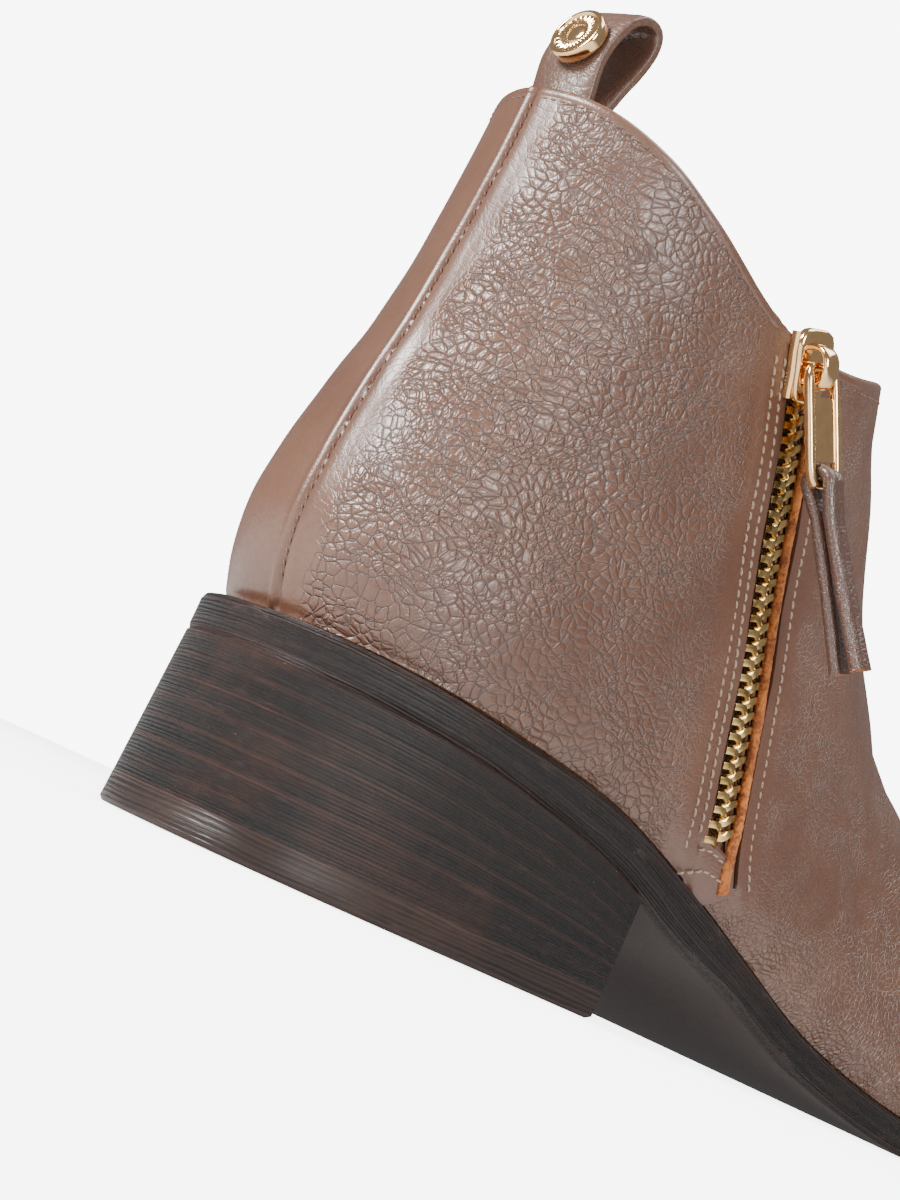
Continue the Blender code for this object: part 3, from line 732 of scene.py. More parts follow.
class Effects:
    """Node groups that more than one finish uses, each built once."""

    built: dict[str, bpy.types.NodeTree] = {}

    @classmethod
    def start(
        cls, name: str, inputs: dict[str, object], outputs: dict[str, str]
    ) -> tuple[Wiring, bpy.types.Node, bpy.types.Node]:
        """Begins a group with named sockets.

        Args:
            name: The group's name.
            inputs: Socket names and their values; a vector's value is None.
            outputs: Socket names and their kinds.

        Returns:
            The wiring, the group's input node and its output node.
        """
        tree = bpy.data.node_groups.new(name, "ShaderNodeTree")
        for label, value in inputs.items():
            kind = "NodeSocketVector" if value is None else "NodeSocketFloat"
            made = tree.interface.new_socket(label, in_out="INPUT", socket_type=kind)
            if value is not None:
                made.default_value = value
        for label, kind in outputs.items():
            tree.interface.new_socket(label, in_out="OUTPUT", socket_type=kind)
        cls.built[name] = tree
        wiring = Wiring(tree)
        return wiring, wiring.node("NodeGroupInput"), wiring.node("NodeGroupOutput")

    @staticmethod
    def pillow(w: Wiring, edge: bpy.types.NodeSocket, reach: float) -> bpy.types.NodeSocket:
        """A cell's rounded top: a sharp valley at the edge that levels off at reach."""
        inside = w.maths("MINIMUM", w.maths("DIVIDE", edge, reach), 1.0)
        return w.maths("SUBTRACT", 1.0, w.maths("POWER", w.maths("SUBTRACT", 1.0, inside), 2.2))

    @classmethod
    def pebble(cls) -> bpy.types.NodeTree:
        """Pebbled grain: warped cells with domed tops, split by finer creases, over pores.

        Coarse gives the size of the cells, Fine the size of the second set. Height is the dome of the
        distance to a cell's edge; Crease is 1 in the creases.
        """
        if "pebble" in cls.built:
            return cls.built["pebble"]
        sizes = {"Vector": None, "Coarse": 300.0, "Fine": 700.0, "Fineness": 0.0}
        results = {"Height": "NodeSocketFloat", "Crease": "NodeSocketFloat"}
        w, given, out = cls.start("pebble", sizes, results)
        place = given.outputs["Vector"]
        bend = w.noise(place, 120.0, 1.0).outputs["Color"]
        warped = w.vectors("ADD", place, w.scaled(w.vectors("SUBTRACT", bend, (0.5, 0.5, 0.5)), 0.0045))
        big = w.cells(warped, given.outputs["Coarse"], "DISTANCE_TO_EDGE")
        slim = w.vectors("MULTIPLY", warped, (1.0, 1.0, 0.62))
        small = w.cells(slim, given.outputs["Fine"], "DISTANCE_TO_EDGE")
        patch = w.span(w.noise(place, 120.0, 1.0).outputs["Fac"], 0.42, 0.62)
        big_line = w.span(big, 0.0, 0.055)
        dome = w.maths("MULTIPLY_ADD", big_line, 0.25, w.maths("MULTIPLY", cls.pillow(w, big, 0.4), 0.62))
        small_line = cls.pillow(w, small, 0.28)
        share = w.maths("MULTIPLY_ADD", patch, 0.26, 0.16)
        share = w.maths("MULTIPLY_ADD", given.outputs["Fineness"], 0.2, share)
        less = w.maths("SUBTRACT", 1.0, given.outputs["Fineness"])
        coarse = w.maths("MULTIPLY_ADD", dome, less, w.maths("MULTIPLY", given.outputs["Fineness"], 0.5))
        pores = w.noise(place, 5200.0, 2.0).outputs["Fac"]
        height = w.maths("MULTIPLY_ADD", small_line, share, coarse)
        height = w.maths("MULTIPLY_ADD", pores, 0.045, height)
        w.feed(out.inputs["Height"], height)
        line = w.maths("MULTIPLY", w.span(big, 0.0, 0.11, 1.0, 0.0), less)
        line = w.maths("MAXIMUM", line, w.maths("MULTIPLY", w.maths("SUBTRACT", 1.0, small_line), share))
        w.feed(out.inputs["Crease"], line)
        return cls.built["pebble"]

    @classmethod
    def patina(cls) -> bpy.types.NodeTree:
        """Uneven tone: broad clouds, finer mottling and sparse pale specks of dust."""
        if "patina" in cls.built:
            return cls.built["patina"]
        outputs = {"Cloud": "NodeSocketFloat", "Mottle": "NodeSocketFloat", "Speck": "NodeSocketFloat"}
        w, given, out = cls.start("patina", {"Vector": None, "Size": 40.0}, outputs)
        place = given.outputs["Vector"]
        w.feed(out.inputs["Cloud"], w.noise(place, given.outputs["Size"], 3.0, 0.6).outputs["Fac"])
        w.feed(out.inputs["Mottle"], w.noise(place, 900.0, 3.0, 0.65).outputs["Fac"])
        grit = w.cells(place, 420.0, "F1")
        some = w.span(w.noise(place, 260.0, 0.0).outputs["Fac"], 0.6, 0.66)
        w.feed(out.inputs["Speck"], w.maths("MULTIPLY", w.span(grit, 0.02, 0.06, 1.0, 0.0), some))
        return cls.built["patina"]

    @classmethod
    def grooves(cls) -> bpy.types.NodeTree:
        """Irregular lines along a stacked edge.

        Level runs from 0 to 1 across the lines, Along is the distance along them in millimetres, and
        Count is how many lines there are. Each line has its own depth, wavers, and breaks off.
        """
        if "grooves" in cls.built:
            return cls.built["grooves"]
        inputs = {"Level": 0.0, "Along": 0.0, "Count": 40.0}
        results = {"Height": "NodeSocketFloat", "Line": "NodeSocketFloat"}
        w, given, out = cls.start("grooves", inputs, results)
        along = given.outputs["Along"]
        level = w.maths("MULTIPLY", given.outputs["Level"], given.outputs["Count"])
        place = w.node("ShaderNodeCombineXYZ")
        w.feed(place.inputs[0], w.maths("MULTIPLY", along, 0.035))
        w.feed(place.inputs[1], w.maths("MULTIPLY", level, 0.22))
        waver = w.noise(place.outputs[0], 1.0, 2.0, 0.5).outputs["Fac"]
        phase = w.maths("MULTIPLY_ADD", waver, 2.0, level)
        line = w.maths("FLOOR", phase)
        inside = w.maths("FRACT", phase)
        own = w.node("ShaderNodeTexWhiteNoise", noise_dimensions="1D")
        w.feed(own.inputs["W"], line)
        spot = w.node("ShaderNodeCombineXYZ")
        w.feed(spot.inputs[0], w.maths("MULTIPLY", along, 0.13))
        w.feed(spot.inputs[1], w.maths("MULTIPLY", line, 7.31))
        broken = w.span(w.noise(spot.outputs[0], 1.0, 2.0).outputs["Fac"], 0.24, 0.46)
        wide = w.maths("MULTIPLY_ADD", own.outputs["Value"], 0.2, 0.26)
        gap = w.maths("ABSOLUTE", w.maths("SUBTRACT", inside, 0.5))
        cut = w.maths("SUBTRACT", 1.0, w.span(w.maths("DIVIDE", gap, wide), 0.35, 1.0))
        depth = w.maths("MULTIPLY", w.maths("MULTIPLY_ADD", own.outputs["Value"], 0.55, 0.45), broken)
        cut = w.maths("MULTIPLY", cut, depth)
        fibre = w.node("ShaderNodeCombineXYZ")
        w.feed(fibre.inputs[0], w.maths("MULTIPLY", along, 0.9))
        w.feed(fibre.inputs[1], w.maths("MULTIPLY", level, 3.1))
        burr = w.noise(fibre.outputs[0], 1.0, 3.0, 0.7).outputs["Fac"]
        round_top = w.maths("MULTIPLY", w.maths("MULTIPLY", gap, gap), 0.5)
        height = w.maths("SUBTRACT", w.maths("MULTIPLY_ADD", burr, 0.3, 0.7), cut)
        w.feed(out.inputs["Height"], w.maths("SUBTRACT", height, round_top))
        w.feed(out.inputs["Line"], cut)
        return cls.built["grooves"]


@dataclass(frozen=True)
class Look:
    """A finish whose material is built once, by the wire method of its own kind."""

    name: str

    def material(self) -> bpy.types.Material:
        """The material, which is wired when it is first asked for."""
        label = f"{self.name}_finish"
        made = bpy.data.materials.get(label)
        if made is None:
            made = bpy.data.materials.new(label)
            made.use_nodes = True
            self.wire(Wiring(made.node_tree), made.node_tree.nodes["Principled BSDF"])
        return made

    def wire(self, w: Wiring, shader: bpy.types.Node) -> None:
        """Feeds the shader's colour, roughness and normal.

        Args:
            w: The material's wiring.
            shader: Its surface shader.
        """
        raise NotImplementedError

    def raise_grain(
        self,
        w: Wiring,
        shader: bpy.types.Node,
        height: bpy.types.NodeSocket,
        relief: float,
        strength: float = 1.0,
    ) -> None:
        """Turns a height into the shader's bumps, relief metres deep."""
        bump = w.node("ShaderNodeBump")
        bump.inputs["Strength"].default_value = strength
        bump.inputs["Distance"].default_value = relief
        w.feed(bump.inputs["Height"], height)
        w.feed(shader.inputs["Normal"], bump.outputs[0])


@dataclass(frozen=True)
class Skin(Look):
    """Pebbled full-grain leather: tone, grain with painted shade in its creases, and gloss.

    The mesh's value named smooth is 1 where the grain is pressed flat, and fine is 1 where the
    coarse pebbles give way to small wrinkles.
    """

    tone: tuple[float, float, float, float]
    deep: tuple[float, float, float, float]
    pale: tuple[float, float, float, float]
    coarse: float = 560.0
    fine: float = 1150.0
    relief: float = 0.00028
    roughness: float = 0.34
    shine: float = 0.75
    stretch: tuple[float, float, float] = (0.94, 0.94, 1.2)

    def wire(self, w: Wiring, shader: bpy.types.Node) -> None:
        """Pebbled grain over uneven tone, with painted shade darkening the creases, which are also matt."""
        place = w.place()
        turned = w.node("ShaderNodeMapping")
        w.feed(turned.inputs["Vector"], place)
        turned.inputs["Scale"].default_value = self.stretch
        turned.inputs["Rotation"].default_value = (0.35, 0.2, 0.1)
        smooth = w.value("smooth").outputs["Fac"]
        fine = w.value("fine").outputs["Fac"]
        sizes = {"Coarse": self.coarse, "Fine": self.fine, "Fineness": fine}
        grain = w.group(Effects.pebble(), Vector=turned.outputs[0], **sizes)
        patina = w.group(Effects.patina(), Vector=place, Size=38.0)
        rough = w.maths("SUBTRACT", 1.0, smooth)
        crease = w.maths("MULTIPLY", grain.outputs["Crease"], w.maths("MULTIPLY_ADD", rough, 0.85, 0.1))
        base = w.mix(w.span(patina.outputs["Cloud"], 0.3, 0.72), self.tone, self.pale)
        # Painted shade: the creases are darkened towards the deep tone.
        base = w.mix(w.maths("MULTIPLY", crease, 0.6), base, self.deep)
        stain = w.span(patina.outputs["Mottle"], 0.35, 0.7)
        base = w.mix(w.maths("MULTIPLY", stain, 0.16), base, self.deep)
        base = w.mix(w.maths("MULTIPLY", patina.outputs["Speck"], 0.3), base, colour(205, 190, 175))
        w.feed(shader.inputs["Base Color"], base)
        matt = w.maths("MULTIPLY_ADD", crease, 0.3, self.roughness)
        matt = w.maths("MULTIPLY_ADD", patina.outputs["Mottle"], 0.1, w.maths("SUBTRACT", matt, 0.05))
        w.feed(shader.inputs["Roughness"], matt)
        shader.inputs["Specular IOR Level"].default_value = self.shine
        fuzz = w.noise(place, 2600.0, 3.0, 0.6).outputs["Fac"]
        tumbled = w.maths("MULTIPLY", rough, w.span(patina.outputs["Cloud"], 0.38, 0.56, 0.4, 1.0))
        share = w.maths("MULTIPLY_ADD", tumbled, 0.94, 0.06)
        height = w.maths("MULTIPLY", grain.outputs["Height"], share)
        height = w.maths("MULTIPLY_ADD", fuzz, 0.07, height)
        self.raise_grain(w, shader, height, self.relief)


@dataclass(frozen=True)
class StackedEdge(Look):
    """Stacked leather edge: fine horizontal grooves darkened with painted shade, worn bands and a waxed
    shine.

    The mesh's value named stack holds the distance along the edge in millimetres, the level from 0
    to 1 and how strong the grooves are.
    """

    tone: tuple[float, float, float, float]
    band: tuple[float, float, float, float]
    dark: tuple[float, float, float, float]
    count: float = 42.0
    bands: float = 7.0
    relief: float = 0.0011
    roughness: float = 0.36

    def wire(self, w: Wiring, shader: bpy.types.Node) -> None:
        """Grooved lines, darkened to near black as painted shade, over brown bands, with dust."""
        parts = w.node("ShaderNodeSeparateXYZ")
        w.feed(parts.inputs[0], w.value("stack").outputs["Vector"])
        along, level, strong = parts.outputs
        lines = w.group(Effects.grooves(), Level=level, Along=along, Count=self.count)
        patina = w.group(Effects.patina(), Vector=w.place(), Size=55.0)
        warped = w.maths("MULTIPLY_ADD", patina.outputs["Cloud"], 0.03, level)
        layer = w.maths("MULTIPLY", warped, self.bands)
        near = w.maths("ABSOLUTE", w.maths("SUBTRACT", w.maths("FRACT", layer), 0.5))
        base = w.mix(w.span(near, 0.1, 0.46), self.dark, self.tone)
        base = w.mix(w.maths("MULTIPLY", w.span(near, 0.42, 0.5), 0.7), base, self.band)
        # Painted shade: the grooves are filled with near black, as deep as they are cut.
        cut = w.maths("MULTIPLY", lines.outputs["Line"], strong)
        base = w.mix(cut, base, colour(5, 4, 4))
        worn = w.span(patina.outputs["Cloud"], 0.45, 0.75)
        base = w.mix(w.maths("MULTIPLY", worn, 0.4), base, self.band)
        base = w.mix(w.maths("MULTIPLY", patina.outputs["Speck"], 0.45), base, colour(170, 158, 148))
        w.feed(shader.inputs["Base Color"], base)
        matt = w.maths("MULTIPLY_ADD", patina.outputs["Mottle"], 0.24, self.roughness - 0.1)
        w.feed(shader.inputs["Roughness"], matt)
        shader.inputs["Specular IOR Level"].default_value = 0.36
        height = w.maths("MULTIPLY", lines.outputs["Height"], strong)
        height = w.maths("MULTIPLY_ADD", patina.outputs["Mottle"], 0.1, height)
        self.raise_grain(w, shader, height, self.relief)


class Texture(Enum):
    """What a plain finish's surface is made of."""

    SATIN = "satin"
    RIBBED = "ribbed"
    WOVEN = "woven"
    RAW = "raw"
    SUEDE = "suede"
    SPUN = "spun"
    CUT = "cut"


@dataclass(frozen=True)
class Plain(Look):
    """A finish with one texture, such as a satin sole, a ribbed lift, woven tape or thread."""

    texture: Texture
    tone: tuple[float, float, float, float]
    deep: tuple[float, float, float, float]
    roughness: float = 0.6
    relief: float = 0.0002
    scale: float = 1400.0

    def pattern(
        self, w: Wiring, place: bpy.types.NodeSocket
    ) -> tuple[bpy.types.NodeSocket, bpy.types.NodeSocket]:
        """The texture's height and its mask of deep tone: painted shade in the low places of ribs, satin,
        weave and rough fibres, random tone on spun thread, and a darker grooved ring on cut ends.

        Args:
            w: The material's wiring.
            place: Object coordinates.

        Returns:
            Sockets of the height and of the mask.
        """
        fuzz = w.noise(place, self.scale, 4.0, 0.65).outputs["Fac"]
        if self.texture in (Texture.RIBBED, Texture.SATIN):
            parts = w.node("ShaderNodeSeparateXYZ")
            w.feed(parts.inputs[0], place)
            ribbed = self.texture is Texture.RIBBED
            pace = 2 * math.pi / (0.00122 if ribbed else 0.0009)
            even = w.maths("MULTIPLY", parts.outputs[1 if ribbed else 0], pace)
            drift = w.noise(place, 90.0, 2.0).outputs["Fac"]
            shaky = w.maths("MULTIPLY_ADD", drift, 1.4 if ribbed else 9.0, even)
            wave = w.maths("MULTIPLY_ADD", w.maths("SINE", shaky), 0.5, 0.5)
            share = 0.85 if ribbed else 0.06
            height = w.maths("MULTIPLY_ADD", wave, share, w.maths("MULTIPLY", fuzz, 0.15))
            # Painted shade: the deep tone fills the troughs between the ribs and the satin's fine lines.
            return height, w.maths("MULTIPLY", w.maths("SUBTRACT", 1.0, wave), share)
        if self.texture is Texture.WOVEN:
            turned = w.node("ShaderNodeMapping")
            w.feed(turned.inputs["Vector"], place)
            turned.inputs["Rotation"].default_value = (math.radians(-20), 0.0, 0.0)
            parts = w.node("ShaderNodeSeparateXYZ")
            w.feed(parts.inputs[0], turned.outputs[0])
            across = w.maths("SINE", w.maths("MULTIPLY", parts.outputs[1], 2 * math.pi / 0.0007))
            upward = w.maths("SINE", w.maths("MULTIPLY", parts.outputs[2], 2 * math.pi / 0.00056))
            weave = w.maths("MULTIPLY_ADD", w.maths("MULTIPLY", across, upward), 0.5, 0.5)
            # Painted shade: the deep tone fills the low places between the threads.
            return w.maths("MULTIPLY_ADD", fuzz, 0.4, weave), w.maths("SUBTRACT", 1.0, weave)
        if self.texture is Texture.CUT:
            ring = w.value("radius").outputs["Fac"]
            seam = w.span(w.maths("ABSOLUTE", w.maths("SUBTRACT", ring, 0.6)), 0.02, 0.16, 1.0, 0.0)
            return w.maths("SUBTRACT", fuzz, w.maths("MULTIPLY", seam, 0.7)), seam
        if self.texture is Texture.SPUN:
            return fuzz, w.span(fuzz, 0.4, 0.6)
        lump = w.noise(place, self.scale * 0.25, 2.0).outputs["Fac"]
        both = w.maths("ADD", fuzz, lump)
        # Painted shade: the deep tone fills the low places of the fibres.
        return both, w.span(w.maths("MULTIPLY", both, 0.5), 0.4, 0.6, 1.0, 0.0)

    def wire(self, w: Wiring, shader: bpy.types.Node) -> None:
        """The texture over its two tones, the deep one as painted shade wherever the mask follows low
        places.
        """
        place = w.place()
        height, mask = self.pattern(w, place)
        patina = w.group(Effects.patina(), Vector=place, Size=60.0)
        base = w.mix(mask, self.tone, self.deep)
        base = w.mix(w.maths("MULTIPLY", w.span(patina.outputs["Cloud"], 0.4, 0.7), 0.3), base, self.deep)
        base = w.mix(w.maths("MULTIPLY", patina.outputs["Speck"], 0.25), base, colour(190, 180, 170))
        w.feed(shader.inputs["Base Color"], base)
        matt = w.maths("MULTIPLY_ADD", patina.outputs["Mottle"], 0.2, self.roughness - 0.1)
        w.feed(shader.inputs["Roughness"], matt)
        if self.texture is Texture.SATIN:
            shader.inputs["Coat Weight"].default_value = 0.2
            shader.inputs["Coat Roughness"].default_value = 0.35
        self.raise_grain(w, shader, height, self.relief, 0.9)


@dataclass(frozen=True)
class Metal(Look):
    """Polished or aged metal: tone, tarnish, fine bumps and gloss."""

    tone: tuple[float, float, float, float]
    tarnish: tuple[float, float, float, float]
    roughness: float = 0.14
    aged: float = 0.1
    relief: float = 0.00003

    def wire(self, w: Wiring, shader: bpy.types.Node) -> None:
        """A clear tone, stained where it has aged."""
        place = w.place()
        patina = w.group(Effects.patina(), Vector=place, Size=420.0)
        stain = w.maths("MULTIPLY", w.span(patina.outputs["Cloud"], 0.35, 0.7), self.aged)
        w.feed(shader.inputs["Base Color"], w.mix(stain, self.tone, self.tarnish))
        shader.inputs["Metallic"].default_value = 1.0
        matt = w.maths("MULTIPLY_ADD", patina.outputs["Mottle"], 0.12, self.roughness - 0.06)
        w.feed(shader.inputs["Roughness"], matt)
        self.raise_grain(w, shader, w.noise(place, 700.0, 3.0).outputs["Fac"], self.relief, 0.5)


# The deep tone of each skin darkens its creases as painted shade, and also its random stains.
SKIN = Skin("taupe_leather", colour(86, 55, 40), colour(36, 18, 11), colour(98, 66, 49))
TAB_SKIN = Skin(
    "tab_leather", colour(72, 47, 36), colour(28, 15, 11), colour(84, 57, 44), 800.0, 1700.0, 0.00016, 0.3
)
LOOP_SKIN = Skin(
    "loop_leather", colour(80, 53, 40), colour(30, 17, 12), colour(92, 63, 48), 800.0, 1700.0, 0.00012, 0.34
)
# The deep tone of the lining, lift tread, satin sole, tape and raw edge is painted shade in the low places
# of their textures.
LINING = Plain("calf_lining", Texture.SUEDE, colour(160, 116, 78), colour(124, 84, 52), 0.7, 0.0001, 900.0)
STACK = StackedEdge("stacked_edge", colour(40, 24, 19), colour(68, 39, 28), colour(22, 14, 12))
SOLE_EDGE = StackedEdge(
    "sole_edge", colour(42, 26, 21), colour(54, 33, 26), colour(30, 19, 16), count=9.0, bands=1.0
)
LIFT_EDGE = StackedEdge(
    "lift_edge", colour(46, 30, 24), colour(60, 40, 32), colour(40, 27, 22), 7.0, 1.0, 0.00016
)
LIFT_TREAD = Plain("lift_tread", Texture.RIBBED, colour(50, 37, 33), colour(12, 9, 8), 0.6, 0.0005)
SATIN_SOLE = Plain("satin_sole", Texture.SATIN, colour(48, 27, 20), colour(32, 19, 15), 0.64, 0.00008)
TAPE = Plain("zip_tape_cloth", Texture.WOVEN, colour(140, 98, 68), colour(66, 42, 28), 0.85, 0.0002)
RAW_EDGE = Plain(
    "raw_leather_edge", Texture.RAW, colour(186, 110, 48), colour(118, 60, 22), 0.85, 0.0004, 1500.0
)
CUT_END = Plain("cut_end", Texture.CUT, colour(172, 96, 46), colour(84, 38, 16), 0.8, 0.0003, 1800.0)
THREAD = Plain(
    "linen_thread", Texture.SPUN, colour(160, 140, 122), colour(134, 112, 92), 0.6, 0.00012, 4200.0
)
SEAM_THREAD = Plain(
    "seam_thread", Texture.SPUN, colour(112, 84, 68), colour(72, 50, 40), 0.55, 0.00012, 4200.0
)
GOLD = Metal("pale_gold", colour(242, 200, 146), colour(196, 132, 74), 0.12, 0.2)
BRASS = Metal("aged_brass", colour(224, 190, 126), colour(134, 96, 46), 0.24, 0.7, 0.00008)


@dataclass
class Upper:
    """The leather upper: skin with the zip's slot, collar bead, lining, seams and stitches."""

    rows: int = 150
    seam_columns: int = 17
    rear_columns: int = 62
    front_columns: int = 112
    lateral_columns: int = 158
    slot_columns: int = 2 * len(SLOT_TURNED)
    seam_zone: float = 4.6
    slot_back: float = -3.0
    slot_front: float = 5.6
    slot_foot: float = 31.4
    bead: float = 1.15
    lining_rows: int = 64
    lining_columns: int = 150
    guide_columns: int = 900

    def seam_x(self, height: Array) -> Array:
        """How far the back seam strays sideways at a height."""
        return 1.0 * hump((height - 54) / 24) - 0.95 * hump((height - 94) / 22)

    def medial_share(self, points: Array) -> Array:
        """0 on the lateral side and 1 on the medial side, eased past the axis."""
        return ease((points[..., 0] - FORM.swing(points[..., 1])) / 6)

    def relief(self, points: Array) -> Array:
        """How far the skin stands out, in millimetres, as a sum of soft ridges and troughs.

        The back seam is a groove beside a rolled ridge. The strip behind the zip stands proud and its
        two stitch rows pinch it. The front panel lies over it. Slow waves and a few listed
        troughs crease the ankle and the heel's bulge.

        Args:
            points: Points of the plain face, last axis of 3.

        Returns:
            One height per point.
        """
        x, station, height = points[..., 0], points[..., 1], points[..., 2]
        back = through(height, LEG, "back")
        near_back = 1 - ease((station - back - 6) / 8)
        d = x - self.seam_x(height)
        seam = 0.5 * hump((d + 1.35) / 1.35) - 0.42 * hump(d / 0.55) + 0.14 * hump((d - 1.6) / 2.2)
        total = seam * near_back
        medial = self.medial_share(points)
        offset = FORM.zip_offset(points)
        by_zip = medial * ease((118 - np.abs(height - 66)) / 20) * ease((height - 22) / 6)
        strip = 0.35 * ease((offset + 9.6) / 1.6) * (1 - ease((offset + 2.6) / 1.0))
        pinches = [hump((offset - row.offset) / 0.9) for row in ZIP_ROWS]
        strip = strip - 0.2 * pinches[0] - 0.2 * pinches[1]
        front = 0.55 * ease((offset - 4.6) / 1.2) * (1 - ease((offset - 26) / 30))
        front = front - 0.22 * pinches[2]
        total = total + by_zip * (strip + front)
        waves = 0.34 * ripple(points, 46.0, 3) + 0.12 * ripple(points, 17.0, 8)
        calm = 0.35 + 0.65 * ease((height - 40) / 25)
        total = total + waves * calm * (1 - 0.6 * near_back)
        for fold in ANKLE_FOLDS:
            away = height - fold.height + fold.slope * (station - fold.start)
            reach = hump(away / fold.half) * hump((station - fold.middle) / fold.reach)
            total = total + fold.lift * reach * (medial if fold.medial else 1 - medial)
        vamp = hump((station - 132 - 0.16 * np.abs(x)) / 5)
        vamp = vamp + 0.7 * hump((station - 143 - 0.12 * np.abs(x)) / 5)
        vamp = vamp * ease((height - 30) / 18) * hump(x / 60)
        tuck = -0.5 * hump((height - FORM.sole_top(station)) / 2.2)
        return total - 0.45 * vamp + tuck

    def smoothness(self, points: Array) -> Array:
        """1 where the grain is stretched flat: by the back seam and along the zip's strip."""
        x, station, height = points[..., 0], points[..., 1], points[..., 2]
        back = through(height, LEG, "back")
        near_back = 1 - ease((station - back - 9) / 12)
        d = x - self.seam_x(height)
        right = 1 - ease((d - 4.0 - 1.2 * ripple(points, 14.0, 5)) / 3.0)
        left = ease((d + 34) / 16)
        flat = near_back * right * left * 0.96
        medial = self.medial_share(points)
        offset = FORM.zip_offset(points)
        strip = medial * ease((offset + 11.5) / 2) * (1 - ease((offset - 9.5) / 3))
        return np.maximum(flat, strip * 0.8 * ease((height - 24) / 6))

    def fineness(self, points: Array) -> Array:
        """1 in front of the zip, where the grain is small, and 0 on the heel's side and back."""
        medial = self.medial_share(points)
        offset = FORM.zip_offset(points)
        rear = ease((offset + 24 + 5 * ripple(points, 22.0, 12)) / 22) * 0.75
        return np.clip(medial * np.maximum(rear, ease((offset + 2) / 8)) + (1 - medial) * 0.45, 0, 1)

    def columns(self, up: Array) -> tuple[Array, Array]:
        """The angle of every column in every row, and its depth under the face.

        The columns crowd beside the back seam, and two of them follow the slot's edges, where three
        more turn the leather in.

        Args:
            up: Fractions of the way up, shape (rows, 1).

        Returns:
            Angles and depths, both of shape (rows, columns).
        """
        fine = np.linspace(0, 2 * np.pi, 2401)
        dense = FORM.upper_point(up, np.broadcast_to(fine, (len(up), fine.size)))
        step = np.linalg.norm(np.diff(dense, axis=1), axis=-1)
        run = np.concatenate([np.zeros((len(up), 1)), np.cumsum(step, axis=1)], axis=1)
        offset = FORM.zip_offset(dense)
        half = fine.size // 2
        slot_depth = np.array(SLOT_TURNED + SLOT_TURNED[::-1])
        slot_side = np.repeat([0.0, 1.0], len(SLOT_TURNED))
        turns, depths = [], []
        for row in range(len(up)):
            medial = offset[row, :half]
            start, stop = np.interp([self.slot_back, self.slot_front], medial, fine[:half])
            near = np.interp(self.seam_zone, run[row], fine)
            far = np.interp(run[row, -1] - self.seam_zone, run[row], fine)
            level = np.interp(start, fine, dense[row, :, 2])
            cut = level > self.slot_foot
            share = slot_side if cut else np.linspace(0, 1, slot_side.size)
            turns.append(np.concatenate([
                np.linspace(0, near, self.seam_columns, endpoint=False),
                near + (start - near) * np.linspace(0, 1, self.rear_columns, endpoint=False),
                start + (stop - start) * share,
                (stop + (np.pi - stop) * np.linspace(0, 1, self.front_columns, endpoint=False))[1:],
                np.linspace(np.pi, far, self.lateral_columns, endpoint=False),
                np.linspace(far, 2 * np.pi, self.seam_columns, endpoint=False),
            ]))
            depth = np.zeros_like(turns[-1])
            first = self.seam_columns + self.rear_columns
            depth[first : first + slot_side.size] = slot_depth if cut else 0.0
            depths.append(depth)
        return np.array(turns), np.array(depths)

    def guide(self, up: Array) -> tuple[Array, Array]:
        """The plain face at even angles, and its unit normals."""
        turn = angles(self.guide_columns)
        points = FORM.upper_point(up, np.broadcast_to(turn, (len(up), turn.size)))
        around = np.roll(points, -1, axis=1) - np.roll(points, 1, axis=1)
        return points, unit(np.cross(around, np.gradient(points, up[:, 0], axis=0)))

    def skin(self) -> tuple[Array, Array, Array]:
        """The outer face with its relief, its unit normals, and the depth of every point."""
        low = np.linspace(0, 0.94, self.rows - 16, endpoint=False)
        up = np.concatenate([low, np.linspace(0.94, 1.0, 16)])[:, None]
        turn, depth = self.columns(up)
        plain = FORM.upper_point(up, turn)
        plain[0, :, 2] += 0.3
        _, outward = self.guide(up)
        count = self.guide_columns
        place = turn / (2 * np.pi) * count
        first = np.floor(place).astype(int)
        part = (place - first)[..., None]
        rows = np.arange(len(up))[:, None]
        normal = outward[rows, first % count] * (1 - part) + outward[rows, (first + 1) % count] * part
        normal = unit(normal)
        lift = self.relief(plain) * ease(up / 0.012)
        face = plain + normal * (lift - depth)[..., None]
        return face, normal, depth

    def build(self) -> None:
        """Makes the skin, the bead, the lining and all stitches of the upper."""
        face, normal, depth = self.skin()
        rows, columns = face.shape[:2]
        keep = np.ones((rows - 1, columns), bool)
        gap = self.seam_columns + self.rear_columns + self.slot_columns // 2 - 1
        keep[:, gap] = depth[:-1, gap] < 1.0
        maker = MeshMaker()
        maker.grid(face, around=True, keep=keep, smooth=self.smoothness(face), fine=self.fineness(face))
        maker.finish("boot_upper", [SKIN], ["upper"], closed=False, angle=60)
        self.build_bead(face, normal)
        self.build_lining()
        self.build_seams(face, normal)

    def build_bead(self, face: Array, normal: Array) -> None:
        """The collar's folded edge: an oval roll along the top, open at the zip's slot.

        Args:
            face: The skin's points.
            normal: Its normals.
        """
        first = self.seam_columns + self.rear_columns
        last = first + self.slot_columns - 1
        order = np.concatenate([np.arange(last, face.shape[1]), np.arange(0, first + 1)])
        top = face[-1, order]
        inward = unit(-normal[-1, order] * np.array([1.0, 1.0, 0.0]))
        heading = unit(np.gradient(top, axis=0))
        rise = unit(np.cross(inward, heading))
        rise = rise * np.sign(rise[:, 2:])
        middle = top + inward * (FORM.wall / 2) - rise * 0.55
        across, lift = oval(14, FORM.wall / 2 + 0.12, self.bead, 2.4)
        rings = swept(middle, inward, rise, across, lift)
        maker = MeshMaker()
        flat = np.full(rings.shape[:2], 0.9)
        maker.tube(rings, smooth=flat, fine=flat * 0.5)
        maker.finish("collar_bead", [SKIN])

